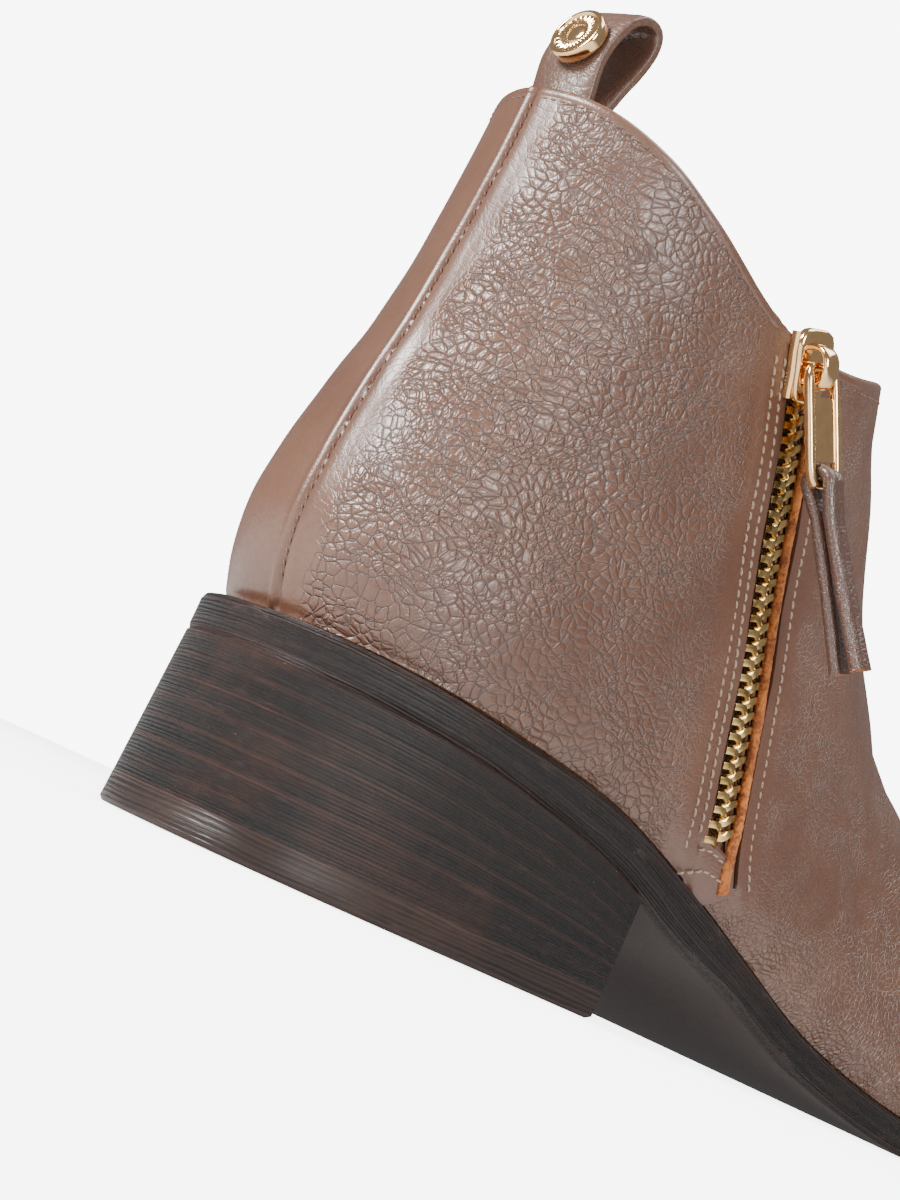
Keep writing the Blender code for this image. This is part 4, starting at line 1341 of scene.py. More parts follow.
    def build_lining(self) -> None:
        """The lining: the outer face moved in by the wall, with soft waves of its own."""
        up = np.linspace(0.0, 1.0, self.lining_rows)[:, None]
        guide, outward = self.guide(up)
        pick = np.linspace(0, self.guide_columns, self.lining_columns, endpoint=False).astype(int)
        soft = 0.12 * ripple(guide, 30.0, 21)[..., None] * ease(up[..., None] / 0.1)
        inner = (guide - outward * (FORM.wall + 0.05 - soft))[:, pick]
        inner[0, :, 2] = guide[0, pick, 2] + 0.3
        inner[-1, :, 2] = guide[-1, pick, 2] - 0.5
        offset = FORM.zip_offset(inner)
        medial = inner[..., 0] > FORM.swing(inner[..., 1]) + 6
        inside = medial & (offset > self.slot_back - 0.6) & (offset < self.slot_front + 0.6)
        inside = inside & (inner[..., 2] > self.slot_foot + 1)
        pair = inside & np.roll(inside, -1, axis=1)
        keep = ~(pair[:-1] & pair[1:])
        maker = MeshMaker()
        maker.grid(inner[:, ::-1], around=True, keep=np.roll(keep[:, ::-1], -1, axis=1))
        maker.finish("boot_lining", [LINING], ["upper"], "lining", closed=False, angle=60)

    def build_seams(self, face: Array, normal: Array) -> None:
        """The stitches of the back seam and of the collar.

        Args:
            face: The skin's points.
            normal: Its normals.
        """
        height = np.linspace(40.0, 123.4, 120)
        base = np.stack([self.seam_x(height), through(height, LEG, "back"), height], -1)
        lean = np.gradient(base[:, 1], height)
        out = unit(np.stack([np.zeros_like(height), -np.ones_like(height), lean], -1))
        maker = MeshMaker()
        seam = Thread(pitch=1.72, length=1.15, radius=0.17, proud=-0.06, slant=0.5)
        maker.many(seam.rows(base + out * 0.02, out))
        maker.finish("back_seam_stitches", [SEAM_THREAD])
        row = face.shape[0] - 5
        first = self.seam_columns + self.rear_columns
        start = first + self.slot_columns + 3
        order = np.concatenate([np.arange(start, face.shape[1]), np.arange(0, first - 6)])
        maker = MeshMaker()
        collar = Thread(pitch=1.7, length=1.3, radius=0.17, proud=0.02, slant=0.1)
        maker.many(collar.rows(face[row, order], normal[row, order]))
        maker.finish("collar_stitches", [SEAM_THREAD])


@dataclass
class SoleUnit:
    """Outsole, stacked heel and ribbed top lift, each a fine copy of its solid."""

    stations: int = 150
    across: int = 33
    heel_stations: int = 64
    gap: float = 0.3

    def plan(
        self, last: float, inset: float, stations: int, hollow: float = 0.0, back: float = 0.0
    ) -> tuple[Array, Array]:
        """A grid over the sole's plan: even angles round both ends, drawn in by an inset.

        Args:
            last: The station where the grid ends.
            inset: How far its edge is drawn in.
            stations: How many rows it has.
            hollow: How deeply the front edge is hollowed.
            back: The station of the back edge.

        Returns:
            The grid's x and station.
        """
        first, end = back + inset, last - inset
        whole = last >= FORM.sole_length
        span = np.pi if whole else np.pi / 2
        along = 1 - np.cos(np.linspace(0, span, stations))
        along = along / 2 if whole else along
        width = np.sin(np.linspace(-np.pi / 2, np.pi / 2, self.across))
        edge = first + (end - first) * along
        reach = FORM.sole_length - inset if whole else FORM.sole_length
        ends = FORM.back_close(edge, first, FORM.heel_round, FORM.heel_power)
        ends = ends * FORM.toe_close(edge, reach)
        medial = ((through(edge, SOLE_PLAN, "medial") - inset) * ends)[:, None]
        lateral = ((through(edge, SOLE_PLAN, "lateral") - inset) * ends)[:, None]
        x = np.where(width >= 0, width * medial, width * lateral)
        station = edge[:, None] - hollow * along[:, None] ** 3 * (1 - width**2)
        return x + FORM.swing(edge)[:, None], station

    def rim(self, grid: Array) -> Array:
        """The border of a grid, in order: along its first column, last row, last column and first row."""
        return np.concatenate([grid[:, 0], grid[-1, 1:], grid[-2::-1, -1], grid[0, -2:0:-1]])

    def stacked(
        self,
        levels: Sequence[tuple[float, Array]],
        walls: int,
        maker: MeshMaker,
        strong: Array | float,
        lids: tuple[int, int] = (1, 1),
    ) -> None:
        """A slab: border loops up through its levels, with the groove values, and both lids.

        Args:
            levels: Pairs of a level from 0 to 1 and a grid of points.
            walls: How many extra rows divide each step.
            maker: The mesh that gets the side.
            strong: How strong the grooves are round the border.
            lids: The material slots of the underside and the top.
        """
        loops = np.array([self.rim(grid) for _, grid in levels])
        marks = np.array([mark for mark, _ in levels])
        at = np.linspace(0, len(levels) - 1, (len(levels) - 1) * walls + 1)
        i = np.minimum(at.astype(int), len(levels) - 2)
        t = (at - i)[:, None, None]
        loops = loops[i] * (1 - t) + loops[i + 1] * t
        marks = marks[i] * (1 - t[:, 0, 0]) + marks[i + 1] * t[:, 0, 0]
        middle = loops[len(loops) // 2]
        run = np.concatenate([[0], np.cumsum(np.linalg.norm(np.diff(middle, axis=0), axis=1))])
        run = np.abs(run - run[-1] * 0.5)
        parts = (run, marks[:, None], strong)
        stack = np.stack([np.broadcast_to(part, loops.shape[:2]) for part in parts], -1)
        maker.grid(loops, around=True, stack=stack)
        order = self.rim(np.arange(levels[0][1][..., 0].size).reshape(levels[0][1].shape[:2]))
        for row, slot, way in ((0, lids[0], -1), (-1, lids[1], 1)):
            grid = levels[row][1]
            values = np.tile(stack[row].mean(axis=0), (grid[..., 0].size, 1))
            values[order] = stack[row]
            values = values.reshape(grid.shape)
            maker.grid(grid[:, ::way], slot=slot, stack=values[:, ::way])

    def build(self) -> None:
        """Makes the outsole, the heel and the top lift."""
        self.build_outsole()
        self.build_heel()

    def raised(self, plan: tuple[Array, Array], height: Array | float) -> Array:
        """A plan grid at a height."""
        return np.stack([plan[0], plan[1], np.broadcast_to(height, plan[0].shape)], -1)

    def build_outsole(self) -> None:
        """The plate: a rolled top edge, a slightly rounded side with grooves, and a drawn-in waist."""
        last = FORM.sole_length
        top = self.plan(last, 1.2, self.stations)
        brow = self.plan(last, 0.35, self.stations)
        edge = self.plan(last, 0.0, self.stations)
        foot = self.plan(last, 0.4, self.stations)
        tuck = 2.4 * ease((foot[1] - 62) / 26) * (1 - ease((foot[1] - 120) / 45))
        width = np.sin(np.linspace(-np.pi / 2, np.pi / 2, self.across))
        drawn = (foot[0] - np.sign(foot[0]) * tuck * np.abs(width), foot[1])
        low, high = FORM.sole_bottom, FORM.sole_top
        levels = [
            (0.0, self.raised(drawn, low(drawn[1]))),
            (0.16, self.raised(edge, low(edge[1]) + 1.2)),
            (0.84, self.raised(edge, high(edge[1]) - 1.2)),
            (0.95, self.raised(brow, high(brow[1]) - 0.35)),
            (1.0, self.raised(top, high(top[1]))),
        ]
        maker = MeshMaker()
        self.stacked(levels, 3, maker, 1.0)
        maker.finish("outsole_plate", [SOLE_EDGE, SATIN_SOLE], ["outsole"], "outsole", angle=50)

    def build_heel(self) -> None:
        """The stacked heel and the lift under it, whose tread is ribbed."""
        lift = FORM.lift_thick
        shape = (self.heel_stations, FORM.breast_hollow)
        flare = -FORM.heel_flare * (1 - lift / float(FORM.sole_bottom(np.array(0.0))))
        foot = self.plan(FORM.breast_station, 0.0, *shape, flare)
        seat = self.plan(FORM.breast_station, 0.0, *shape)
        under, over = lift - 0.06, FORM.sole_bottom(seat[1]) + 0.05
        levels = [(0.0, self.raised(foot, under)), (1.0, self.raised(seat, over))]
        maker = MeshMaker()
        front = self.front_weight(levels[0][1])
        self.stacked(levels, 10, maker, 1.0 - 0.92 * front)
        maker.finish("heel_stack", [STACK, SATIN_SOLE], ["heel_block"], "heel_stack", angle=40)
        sole = self.plan(FORM.breast_station - 0.3, 0.5, *shape, -FORM.heel_flare)
        edge = self.plan(FORM.breast_station, 0.0, *shape, -FORM.heel_flare)
        levels = [
            (0.0, self.raised(sole, 0.0)),
            (0.12, self.raised(edge, 0.6)),
            (1.0, self.raised(foot, lift)),
        ]
        maker = MeshMaker()
        self.stacked(levels, 4, maker, 0.75 - 0.65 * front, (1, 0))
        maker.finish("top_lift_ribbed", [LIFT_EDGE, LIFT_TREAD], ["top_lift"], "top_lift", angle=50)

    def front_weight(self, grid: Array) -> Array:
        """1 on the heel's breast and 0 round its curved side."""
        rows, columns = grid.shape[:2]
        marks = np.zeros((rows, columns))
        marks[-1, 1:-1] = 1.0
        return self.rim(marks)


@dataclass
class Zipper:
    """Brass teeth, raw front edge, foot facing, stitch rows and the slider."""

    pitch: float = 2.38
    foot: float = 34.6
    head: float = 104.0
    tooth_wide: float = 0.82
    facing_foot: float = 25.0
    facing_height: float = 34.9
    facing_drop: float = 3.4
    slider_height: float = 107.4
    slider_length: float = 12.0
    slider_half: float = 4.5
    plate_low: float = 0.9
    plate_high: float = 2.3
    axis: float = 3.7

    def line(
        self, low: float, high: float, offset: Array | float, depth: Array | float, count: int = 400
    ) -> tuple[Array, Array]:
        """A line beside the zip at an offset and a depth, and the face's normals along it."""
        height = np.linspace(low, high, count)
        station, level = FORM.zip_across(height, np.broadcast_to(offset, height.shape))
        return FORM.side_point(station, level, np.broadcast_to(depth, height.shape))

    def build(self, upper: Upper) -> None:
        """Makes everything but the pull.

        Args:
            upper: The upper, whose relief the stitches follow.
        """
        self.build_tape()
        self.build_teeth()
        self.build_front_edge()
        self.build_facing()
        self.build_stitches(upper)
        self.build_slider()

    def build_teeth(self) -> None:
        """Interlocked teeth.

        Each tooth is a bar across the zip. Its ring at a place a from 0, the outer end, to 1, the head,
        lies at across = outer - a * reach, rises as a hump and hooks downwards past the middle.
        """
        path, normal = self.line(self.foot, self.head, 0.0, 0.35, 900)
        both = resample(np.concatenate([path, normal], axis=1), self.pitch / 2)
        centre, out = both[:, :3], unit(both[:, 3:])
        up = unit(np.gradient(centre, axis=0))
        side = unit(np.cross(up, out))
        out = np.cross(side, up)
        a = np.linspace(0, 1, 9)
        across = 2.75 - a * 3.7
        raised = 0.1 + 0.72 * np.sin(np.pi * np.clip(a * 0.9 + 0.1, 0, 1)) ** 0.8
        hook = 0.1 - 0.95 * ease((a - 0.3) / 0.7)
        wide = self.tooth_wide * (0.86 + 0.3 * hump((a - 0.72) / 0.4))
        thick = 0.52 * (0.8 + 0.25 * hump((a - 0.6) / 0.5))
        c, s = oval(8, 1.0, 1.0, 3.2)
        maker = MeshMaker()
        pieces = []
        for number in range(len(centre) - 1):
            sign = 1.0 if number % 2 else -1.0
            spread = 0.9 * ease((5 - number) / 5)
            along = hook[:, None] + wide[:, None] * c[None, :]
            high = raised[:, None] + thick[:, None] * s[None, :]
            wide_at = sign * (across[:, None] + spread) + 0 * along
            piece = centre[number] + side[number] * wide_at[..., None]
            pieces.append(piece + up[number] * along[..., None] + out[number] * high[..., None])
        maker.many(np.array(pieces))
        maker.finish("zip_teeth", [BRASS], ["zip_chain"], "antique_brass", angle=50)

    def build_tape(self) -> None:
        """The woven tape: flat under the leather, and raised to the teeth's feet in the middle."""
        height = np.linspace(29.5, 106.5, 160)[:, None]
        offset = np.linspace(-8.6, 8.6, 44)[None, :]
        raised = 1.35 * (1 - ease((np.abs(offset) - 2.9) / 1.1)) * ease((height - 28.5) / 4)
        station, level = FORM.zip_across(height, offset + 0 * height)
        face, normal = FORM.side_point(station, level, 2.6 - raised)
        back = face - normal * 0.7
        maker = MeshMaker()
        maker.grid(np.concatenate([face, back[::-1], face[:1]]))
        for edge in (np.stack([back[:, 0], face[:, 0]], 1), np.stack([face[:, -1], back[:, -1]], 1)):
            maker.grid(edge)
        maker.finish("zip_tape_woven", [TAPE], ["zip_tape"], "zip_tape", closed=False, angle=60)

    def build_front_edge(self) -> None:
        """The front panel's raw edge: a fuzzy oval roll beside the teeth, running on down to the sole."""
        at = np.linspace(0, 1, 420)
        offset = 4.0 + 0.25 * np.sin(9 * at) - 1.6 * ease((0.14 - at) / 0.14)
        path, normal = self.line(26.0, 109.0, offset, -0.28, at.size)
        heading = unit(np.gradient(path, axis=0))
        side = unit(np.cross(heading, normal))
        wide = 0.68 + 0.12 * np.sin(1 + 13 * at) + 0.35 * hump((at - 0.33) / 0.07)
        wide = wide + 0.5 * ease((0.18 - at) / 0.18)
        across, lift = oval(12, 1.0, 1.0, 2.6)
        rings = swept(path, side, normal, wide[:, None] * across, 0.85 * lift)
        rings = rings + normal[:, None] * 0.06 * ripple(rings, 1.6, 31)[..., None]
        maker = MeshMaker()
        maker.tube(rings)
        maker.finish("front_raw_edge", [RAW_EDGE], ["zip_front_edge"], "raw_edge")

    def facing_top(self, across: Array) -> Array:
        """Height of the foot facing's upper edge, which runs down to the front."""
        return self.facing_height - self.facing_drop * ease((across + 3.0) / 7.2)

    def build_facing(self) -> None:
        """The leather that closes the slot's foot: a thin patch with a slanting upper edge."""
        t = np.linspace(0, 1, 40)[:, None]
        across = np.linspace(-5.2, 4.6, 34)[None, :]
        height = self.facing_foot + (self.facing_top(across) - self.facing_foot) * t
        station, level = FORM.zip_across(height, across + 0 * height)
        lift = -0.5 + 0.62 * ease((-3.2 - across) / 1.6) - 0.12 * hump((t - 0.93) / 0.1)
        outer, normal = FORM.side_point(station, level, lift + 0 * height)
        inner = outer - normal * 1.1
        maker = MeshMaker()
        flat = np.full(outer.shape[:2], 0.85)
        maker.grid(outer, smooth=flat, fine=flat)
        turned = ((0.0, 0.0), (0.4, 0.12), (0.9, 0.0), (1.3, -0.2))
        rim = [outer[-1] - normal[-1] * deep + np.array([0, 0, rise]) for deep, rise in turned]
        maker.grid(np.stack(rim), slot=1)
        maker.grid(inner[:, ::-1])
        maker.finish("zip_foot_facing", [SKIN, RAW_EDGE], closed=False, angle=60)
        maker = MeshMaker()
        row = Thread(pitch=1.75, length=1.35)
        for drop in (1.6, 4.6):
            line = np.linspace(-8.2, 3.4, 80)
            station, level = FORM.zip_across(self.facing_top(line) - drop, line)
            points, out = FORM.side_point(station, level, np.full(line.size, -0.56))
            kept = line > -2.9 - drop
            maker.many(row.rows(points[kept], out[kept]))
        maker.finish("zip_foot_stitches", [THREAD])

    def build_stitches(self, upper: Upper) -> None:
        """Two rows behind the teeth and one in front, laid on the skin's relief.

        Args:
            upper: The upper.
        """
        maker = MeshMaker()
        thread = Thread()
        for row in ZIP_ROWS:
            plain, _ = self.line(row.low, row.high, row.offset, 0.0)
            points, out = self.line(row.low, row.high, row.offset, -upper.relief(plain) - 0.04)
            maker.many(thread.rows(points, out))
        maker.finish("zip_stitches", [THREAD])
        maker = MeshMaker()
        tack = Thread(pitch=0.62, length=2.6, radius=0.2, proud=0.14, slant=0.0)
        heights = np.linspace(104.4, 108.6, 9)
        station, level = FORM.zip_across(heights, np.full(9, -4.0))
        points, out = FORM.side_point(station, level, np.full(9, -0.5))
        side = unit(np.gradient(points, axis=0))
        across = unit(np.cross(out, side))
        for p, q, o in zip(points, across, out):
            maker.many(tack.rows(np.stack([p - q * 1.3, p, p + q * 1.3]), np.stack([o, o, o]))[:1])
        maker.finish("zip_top_tack", [THREAD])

    def frame(self) -> tuple[Array, Array, Array, Array]:
        """The slider's place and its directions: across towards the toe, up along the zip, and out."""
        height = np.array(self.slider_height)
        origin, out = FORM.side_point(FORM.zip_station(height), height, np.array(0.0))
        above, _ = FORM.side_point(FORM.zip_station(height + 1), height + 1, np.array(0.0))
        up = unit(above - origin)
        across = unit(np.cross(up, out))
        return origin, across, up, np.cross(across, up)

    def build_slider(self) -> None:
        """The slider: a rounded shield plate, side flanges and a heavy bridge over the pull's bar."""
        origin, across, up, out = self.frame()
        turn = angles(72)
        half = self.slider_length / 2
        wide, tall = oval(turn.size, self.slider_half, half, 3.6)
        wide = wide * (0.86 + 0.14 * ease(np.sin(turn) + 0.4))
        low, high = self.plate_low, self.plate_high
        levels = [(low - 0.5, 0.5), (low, 0.0), (high - 0.5, 0.0), (high - 0.15, 0.16), (high, 0.55)]
        maker = MeshMaker()
        rings = []
        for level, shrink in levels:
            broad = np.outer(wide * (1 - shrink / self.slider_half), across)
            rings.append(origin + broad + np.outer(tall * (1 - shrink / half), up) + out * level)
        maker.tube(np.array(rings))
        angle = np.linspace(0, np.pi, 37)
        rise = (self.axis + 1.75 - self.plate_high + 0.4) * np.sin(angle) ** 0.62
        span = 3.2 * np.cos(angle)
        path = origin + np.outer(span, up) + np.outer(self.plate_high - 0.4 + rise, out)
        heading = unit(np.gradient(path, axis=0))
        side = np.broadcast_to(across, path.shape)
        normal = unit(np.cross(side, heading))
        swell = 1.45 + 0.35 * np.sin(angle)
        c, s = oval(20, 1.0, 1.0, 3.0)
        maker.tube(swept(path, side, normal, swell[:, None] * c, 0.62 * s))
        for sign in (-1.0, 1.0):
            run = np.linspace(-half * 0.9, half * 0.86, 30)
            away = sign * (3.7 + 0.4 * ease((run + 3) / 6))
            edge = origin + np.outer(run, up) + np.outer(away, across) + out * 0.75
            ways = [np.broadcast_to(way, edge.shape) for way in (across, out)]
            maker.tube(swept(edge, *ways, *oval(12, 0.55, 0.85, 2.6)))
        maker.finish("slider_body", [GOLD], ["zip_slider"], "gold", angle=45)


@dataclass
class Pull:
    """The pull that hangs from the slider: a channelled gold plate and a padded leather tab."""

    zipper: Zipper
    length: float = 19.0
    half: float = 4.1
    bar: float = 1.5
    depth: float = 1.6
    web_middle: float = -9.65
    web_half: float = 5.05
    rest: float = 15.0
    leg: float = 29.8
    tab_wide: float = 4.8
    tab_thick: float = 2.2
    lean: float = 0.16

    def to_boot(self, points: Array) -> Array:
        """Points of the pull's own frame, turned out by its rest angle and put at the slider's axis."""
        origin, across, up, out = self.zipper.frame()
        angle = -math.radians(self.rest)
        along = up * math.cos(angle) + out * math.sin(angle)
        away = out * math.cos(angle) - up * math.sin(angle)
        hinge = origin + out * self.zipper.axis
        return hinge + points[..., :1] * across + points[..., 1:2] * along + points[..., 2:] * away

    def build(self) -> None:
        """Makes the plate and the tab."""
        self.build_plate()
        self.build_tab()

    def build_plate(self) -> None:
        """The frame: an oblong ring of rounded bar round a thin sunken web, with a slot at its foot."""
        middle = self.half - self.bar / 2
        tall = self.length / 2
        x, y = oval(120, middle, tall - 0.2, 7.0)
        y = y - tall + 0.45
        path = np.stack([x, y, 0 * x], -1)
        heading = unit(np.roll(path, -1, axis=0) - np.roll(path, 1, axis=0))
        side = np.stack([-heading[:, 1], heading[:, 0], 0 * x], -1)
        out = np.broadcast_to(np.array([0.0, 0.0, 1.0]), path.shape)
        near_top = ease((y + 1.6) / 1.4)
        wide = self.bar / 2 * (1 - 0.2 * near_top)
        deep = self.depth / 2 * (1 - 0.22 * near_top)
        across, lift = oval(16, 1.0, 1.0, 3.4)
        ring = swept(path, side, out, wide[:, None] * across, deep[:, None] * lift)
        maker = MeshMaker()
        closed = np.concatenate([ring, ring[:1]])
        maker.grid(self.to_boot(closed), around=True)
        web_c, web_s = oval(40, middle + 0.2, self.web_half, 8.0)
        levels = []
        for level, shrink in ((-0.35, 0.04), (-0.3, 0.0), (0.3, 0.0), (0.35, 0.04)):
            small = 1 - shrink
            flat = (web_c * small, self.web_middle + web_s * small, np.full(40, level))
            levels.append(np.stack(flat, -1))
        maker.tube(self.to_boot(np.array(levels)))
        maker.finish("pull_plate", [GOLD], ["zip_pull"], "gold", body=Body.PULL, angle=45)

    def tab_leg(self, side: float) -> Array:
        """Along and out of one leg's middle line, spreading a little at its end."""
        t = np.linspace(0.16, 1, 60)
        apart = self.tab_thick / 2 + 0.15 + 0.75 * ease((0.2 - t) / 0.2) + 0.7 * t**3
        along = -self.length + 0.75 - t * (self.leg - 0.6 * (side > 0))
        return np.stack([along, side * apart + self.lean * self.leg * t], -1)

    def build_tab(self) -> None:
        """The tab: a strip folded over the plate's foot, a round roll beside a flat flange."""
        bend = 0.65 + 0.3 + self.tab_thick / 2 + 0.1
        turn = np.linspace(-0.35, np.pi + 0.35, 40)
        fold = np.stack([-self.length + 0.75 + bend * np.sin(turn), bend * np.cos(turn)], -1)
        line = np.concatenate([self.tab_leg(1.0)[::-1], fold, self.tab_leg(-1.0)])
        at = np.linspace(0, 1, len(line))
        line = resample(np.column_stack([line, 0 * at]), 0.45)
        at = np.linspace(0, 1, len(line))
        path = np.stack([0 * at, line[:, 0], line[:, 1]], -1)
        heading = unit(np.gradient(path, axis=0))
        side = np.broadcast_to(np.array([1.0, 0.0, 0.0]), path.shape)
        out = unit(np.cross(side, heading))
        turn = angles(28)
        w = np.cos(turn)
        roll = np.sqrt(np.clip(1 - ((w + 0.5) / 0.52) ** 2, 0, 1)) * self.tab_thick / 2
        flange = 0.62 * np.sqrt(np.clip(1 - np.abs((w - 0.36) / 0.66) ** 3.2, 0, 1))
        thick = np.maximum(roll, flange) * np.sign(np.sin(turn))
        pinch = 1 - 0.12 * hump((at - 0.5) / 0.13)
        wobble = 1 + 0.04 * np.sin(at * 37) + 0.03 * np.sin(at * 83 + 1)
        half = self.tab_wide / 2 * w
        rings = swept(path, side, out, half * pinch[:, None], thick * wobble[:, None])
        maker = MeshMaker()
        flat = np.full(rings.shape[:2], 0.25)
        maker.tube(self.to_boot(rings), cap_slot=1, smooth=flat, fine=0 * flat)
        maker.finish("pull_tab", [TAB_SKIN, CUT_END], ["pull_tassel"], body=Body.PULL, angle=55)
        stitch = Thread(pitch=1.5, length=1.5, radius=0.2, proud=0.1, slant=0.0)
        bars = []
        for number in (int(len(at) * 0.33), int(len(at) * 0.67)):
            sign = -1.0 if number > len(at) / 2 else 1.0
            spot = self.to_boot(path[number][None] + side[number] * 1.3 + out[number] * 0.6)[0]
            here = path[number]
            lie = self.to_boot(np.stack([here, here + side[number], here + out[number]]))
            x_way, o_way = lie[1] - lie[0], lie[2] - lie[0]
            points = np.stack([spot - x_way * 0.9, spot, spot + x_way * 0.9]) + o_way * 0.02 * sign
            bars.append(stitch.rows(points, np.stack([o_way] * 3))[:1])
        maker = MeshMaker()
        maker.many(np.concatenate(bars))
        maker.finish("tab_stitches", [SEAM_THREAD], body=Body.PULL)


@dataclass
class BackLoop:
    """The leather loop inside the back of the collar, and the round gold stud on it."""

    width: float = 13.0
    thick: float = 1.6
    bow: float = 1.7
    stitch_line: float = 5.3
    stud_radius: float = 4.7
    stud_thick: float = 2.3
    stud_x: float = 1.2
    stud_rise: float = 10.0

    def line(self, count: int) -> Array:
        """The loop's middle line in the side view, as stations and heights."""
        back = float(through(np.array(FORM.collar_back), LEG, "back")) + FORM.wall + 0.3 + self.thick / 2
        table = [KnotRow(float(i), back + y, FORM.collar_back + z) for i, (y, z) in enumerate(LOOP_KNOTS)]
        fine = np.linspace(0, len(table) - 1, count)
        return np.stack([through(fine, table, "station"), through(fine, table, "height")], -1)

    def build(self) -> None:
        """Makes the strip and the stud."""
        line = resample(np.column_stack([self.line(600), np.zeros(600)]), 0.5)
        count = len(line)
        path = np.stack([np.zeros(count), line[:, 0], line[:, 1]], -1)
        heading = unit(np.gradient(path, axis=0))
        side = np.broadcast_to(np.array([1.0, 0.0, 0.0]), path.shape)
        out = unit(np.cross(heading, side))
        across, high = oval(56, self.width / 2, self.thick / 2, 9.0)
        edge = hump((np.abs(across) - self.stitch_line) / 1.2)
        inner = high < 0
        high = high * (1 + 0.16 * edge)
        down = 1 - 0.8 * ease((path[:, 2] - FORM.collar_back) / 8)
        rings = swept(path, side, out, across, high)
        bowed = self.bow * down[:, None] * (across / (self.width / 2)) ** 2
        rings = rings + np.array([0, 1.0, 0]) * bowed[..., None]
        curl = hump((np.linspace(0, 1, count) - 0.5) / 0.2)
        folds = 0.11 * np.sin(np.linspace(0, 62 * np.pi, count)) * curl
        folds = folds[:, None] * inner * ease((self.stitch_line + 0.6 - np.abs(across)) / 2)
        rings = rings + out[:, None] * folds[..., None]
        maker = MeshMaker()
        flat = np.full(rings.shape[:2], 0.5)
        maker.tube(rings, smooth=flat, fine=0.3 * flat)
        maker.finish("back_loop", [LOOP_SKIN], ["pull_loop"], angle=60)
        self.build_stud()

    def build_stud(self) -> None:
        """The stud: a turned disc with a rolled rim, a dished face with fine rays and a plain dome."""
        line = self.line(600)
        middle = int(np.argmin(np.abs(line[:250, 1] - (FORM.collar_back + self.stud_rise))))
        along = unit(line[middle + 4] - line[middle - 4])
        out = np.array([-along[1], along[0]])
        seat = line[middle] + out * (self.thick / 2 + 0.12)
        profile = np.array(STUD_PROFILE)
        turn = angles(96)
        dished = (profile[:, :1] < 0.77) & (profile[:, :1] > 0.4)
        rays = np.where(dished, 0.09 * np.cos(24 * turn), 0.0)
        radius = self.stud_radius * profile[:, :1] * np.ones_like(turn)
        level = profile[:, 1:] * self.stud_thick / 2.3 + rays
        x = self.stud_x + radius * np.cos(turn)
        up = radius * np.sin(turn)
        station, height = (seat[k] + out[k] * level + along[k] * up for k in (0, 1))
        points = np.stack([x, station, height], -1)
        maker = MeshMaker()
        maker.grid(points, around=True)
        floor = np.stack([points[0], np.broadcast_to(points[0].mean(axis=0), points[0].shape)])
        maker.grid(floor, around=True)
        maker.finish("stud_disc", [GOLD], ["loop_stud"], "gold", angle=50)


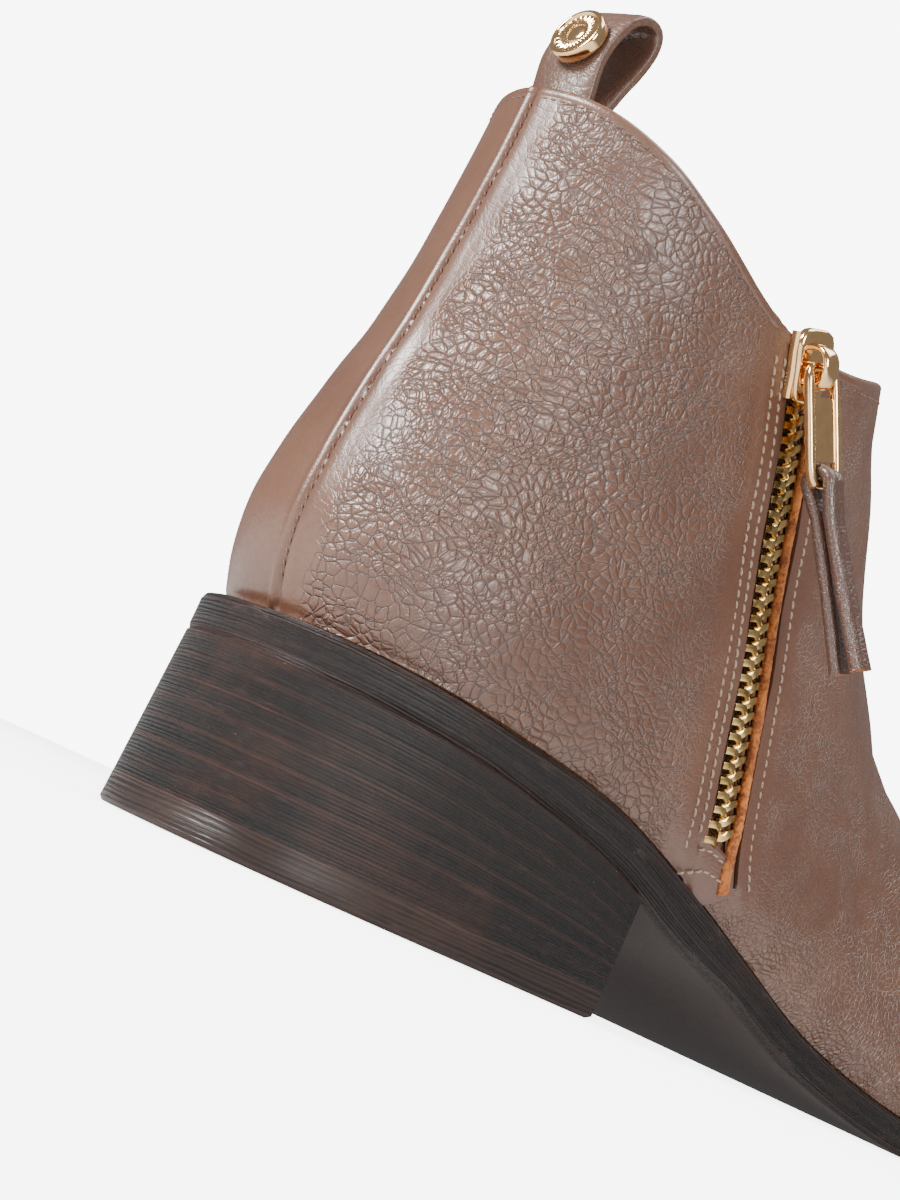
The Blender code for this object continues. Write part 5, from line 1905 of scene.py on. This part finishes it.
@dataclass
class Studio:
    """Pale floor, soft lights and the camera on the photograph's heading, at floor level."""

    azimuth: float = 46.05
    roll: float = 24.5
    distance: float = 400.0
    target: tuple[float, float, float] = (-13.2, 12.5, 52.8)
    focal: float = 2430.0
    camera_height: float = 5.0

    def build(self) -> None:
        """Makes the floor, the lights, the world and the camera."""
        self.build_floor()
        self.build_lights()
        self.build_camera()

    def build_floor(self) -> None:
        """A wide pale plane."""
        mesh = bpy.data.meshes.new("floor")
        corners = np.array([[-1, -1], [1, -1], [1, 1], [-1, 1]]) * 9.0
        mesh.from_pydata(np.column_stack([corners, np.full(4, -0.0002)]).tolist(), [], [[0, 1, 2, 3]])
        floor = bpy.data.objects.new("floor", mesh)
        bpy.context.scene.collection.objects.link(floor)
        made = bpy.data.materials.new("pale_floor")
        made.use_nodes = True
        w = Wiring(made.node_tree)
        shader = made.node_tree.nodes["Principled BSDF"]
        tone = w.noise(w.place(), 3.0, 2.0).outputs["Fac"]
        w.feed(shader.inputs["Base Color"], w.mix(tone, colour(200, 200, 200), colour(206, 206, 205)))
        shader.inputs["Roughness"].default_value = 0.9
        shader.inputs["Emission Color"].default_value = (1, 1, 1, 1)
        shown = w.node("ShaderNodeLightPath").outputs["Is Camera Ray"]
        w.feed(shader.inputs["Emission Strength"], w.maths("MULTIPLY_ADD", shown, 4.7, 0.3))
        mesh.materials.append(made)

    def light(
        self, name: str, place: tuple[float, float, float], size: tuple[float, float], power: float
    ) -> None:
        """A soft box at a place in metres, turned to the boot."""
        data = bpy.data.lights.new(name, "AREA")
        data.shape = "RECTANGLE"
        data.size, data.size_y = size
        data.energy = power
        lamp = bpy.data.objects.new(name, data)
        bpy.context.scene.collection.objects.link(lamp)
        lamp.location = place
        aim = Vector((0.0, 0.02, 0.07)) - Vector(place)
        lamp.rotation_euler = aim.to_track_quat("-Z", "Y").to_euler()
        lamp.visible_camera = False

    def build_lights(self) -> None:
        """A large key from the back, a fill from the inner side, a top light and a bright world."""
        world = bpy.data.worlds.new("studio")
        bpy.context.scene.world = world
        world.use_nodes = True
        w = Wiring(world.node_tree)
        shown = w.node("ShaderNodeLightPath").outputs["Is Camera Ray"]
        backdrop = world.node_tree.nodes["Background"]
        backdrop.inputs[0].default_value = (0.98, 0.98, 0.98, 1)
        w.feed(backdrop.inputs[1], w.maths("MULTIPLY_ADD", shown, 8.0, 0.3))
        self.light("key", (-0.3, -1.1, 0.75), (0.42, 0.42), 50.0)
        self.light("fill", (1.2, -0.3, 0.5), (0.5, 0.5), 17.0)
        self.light("top", (0.2, 0.4, 1.4), (0.9, 0.9), 16.0)

    def build_camera(self) -> None:
        """The camera: its backward axis comes from azimuth and elevation, and it is rolled about it."""
        a, r = math.radians(self.azimuth), math.radians(self.roll)
        e = -math.asin((self.target[2] - self.camera_height) / self.distance)
        back = Vector((math.sin(a) * math.cos(e), -math.cos(a) * math.cos(e), math.sin(e)))
        right = Vector((math.cos(a), math.sin(a), 0.0))
        up = back.cross(right)
        turned = right * math.cos(r) + up * math.sin(r)
        over = up * math.cos(r) - right * math.sin(r)
        data = bpy.data.cameras.new("camera")
        data.sensor_width = 36.0
        data.lens = self.focal / 1200 * 36
        data.clip_start = 0.01
        camera = bpy.data.objects.new("camera", data)
        bpy.context.scene.collection.objects.link(camera)
        turn = Matrix((turned, over, back)).transposed().to_4x4()
        camera.matrix_world = Matrix.Translation((Vector(self.target) + back * self.distance) * MM) @ turn
        bpy.context.scene.camera = camera


def dress_kept_solids() -> None:
    """Gives the sock, the one solid that stays, its finish."""
    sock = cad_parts["insole"]
    sock.data.materials.clear()
    sock.data.materials.append(LINING.material())


def main() -> None:
    """Builds the boot piece by piece, then the studio."""
    logging.basicConfig(level=logging.INFO, format="%(name)s: %(message)s", stream=sys.stdout)
    upper = Upper()
    upper.build()
    SoleUnit().build()
    zipper = Zipper()
    zipper.build(upper)
    Pull(zipper).build()
    BackLoop().build()
    dress_kept_solids()
    Studio().build()


if __name__ == "__main__":
    main()
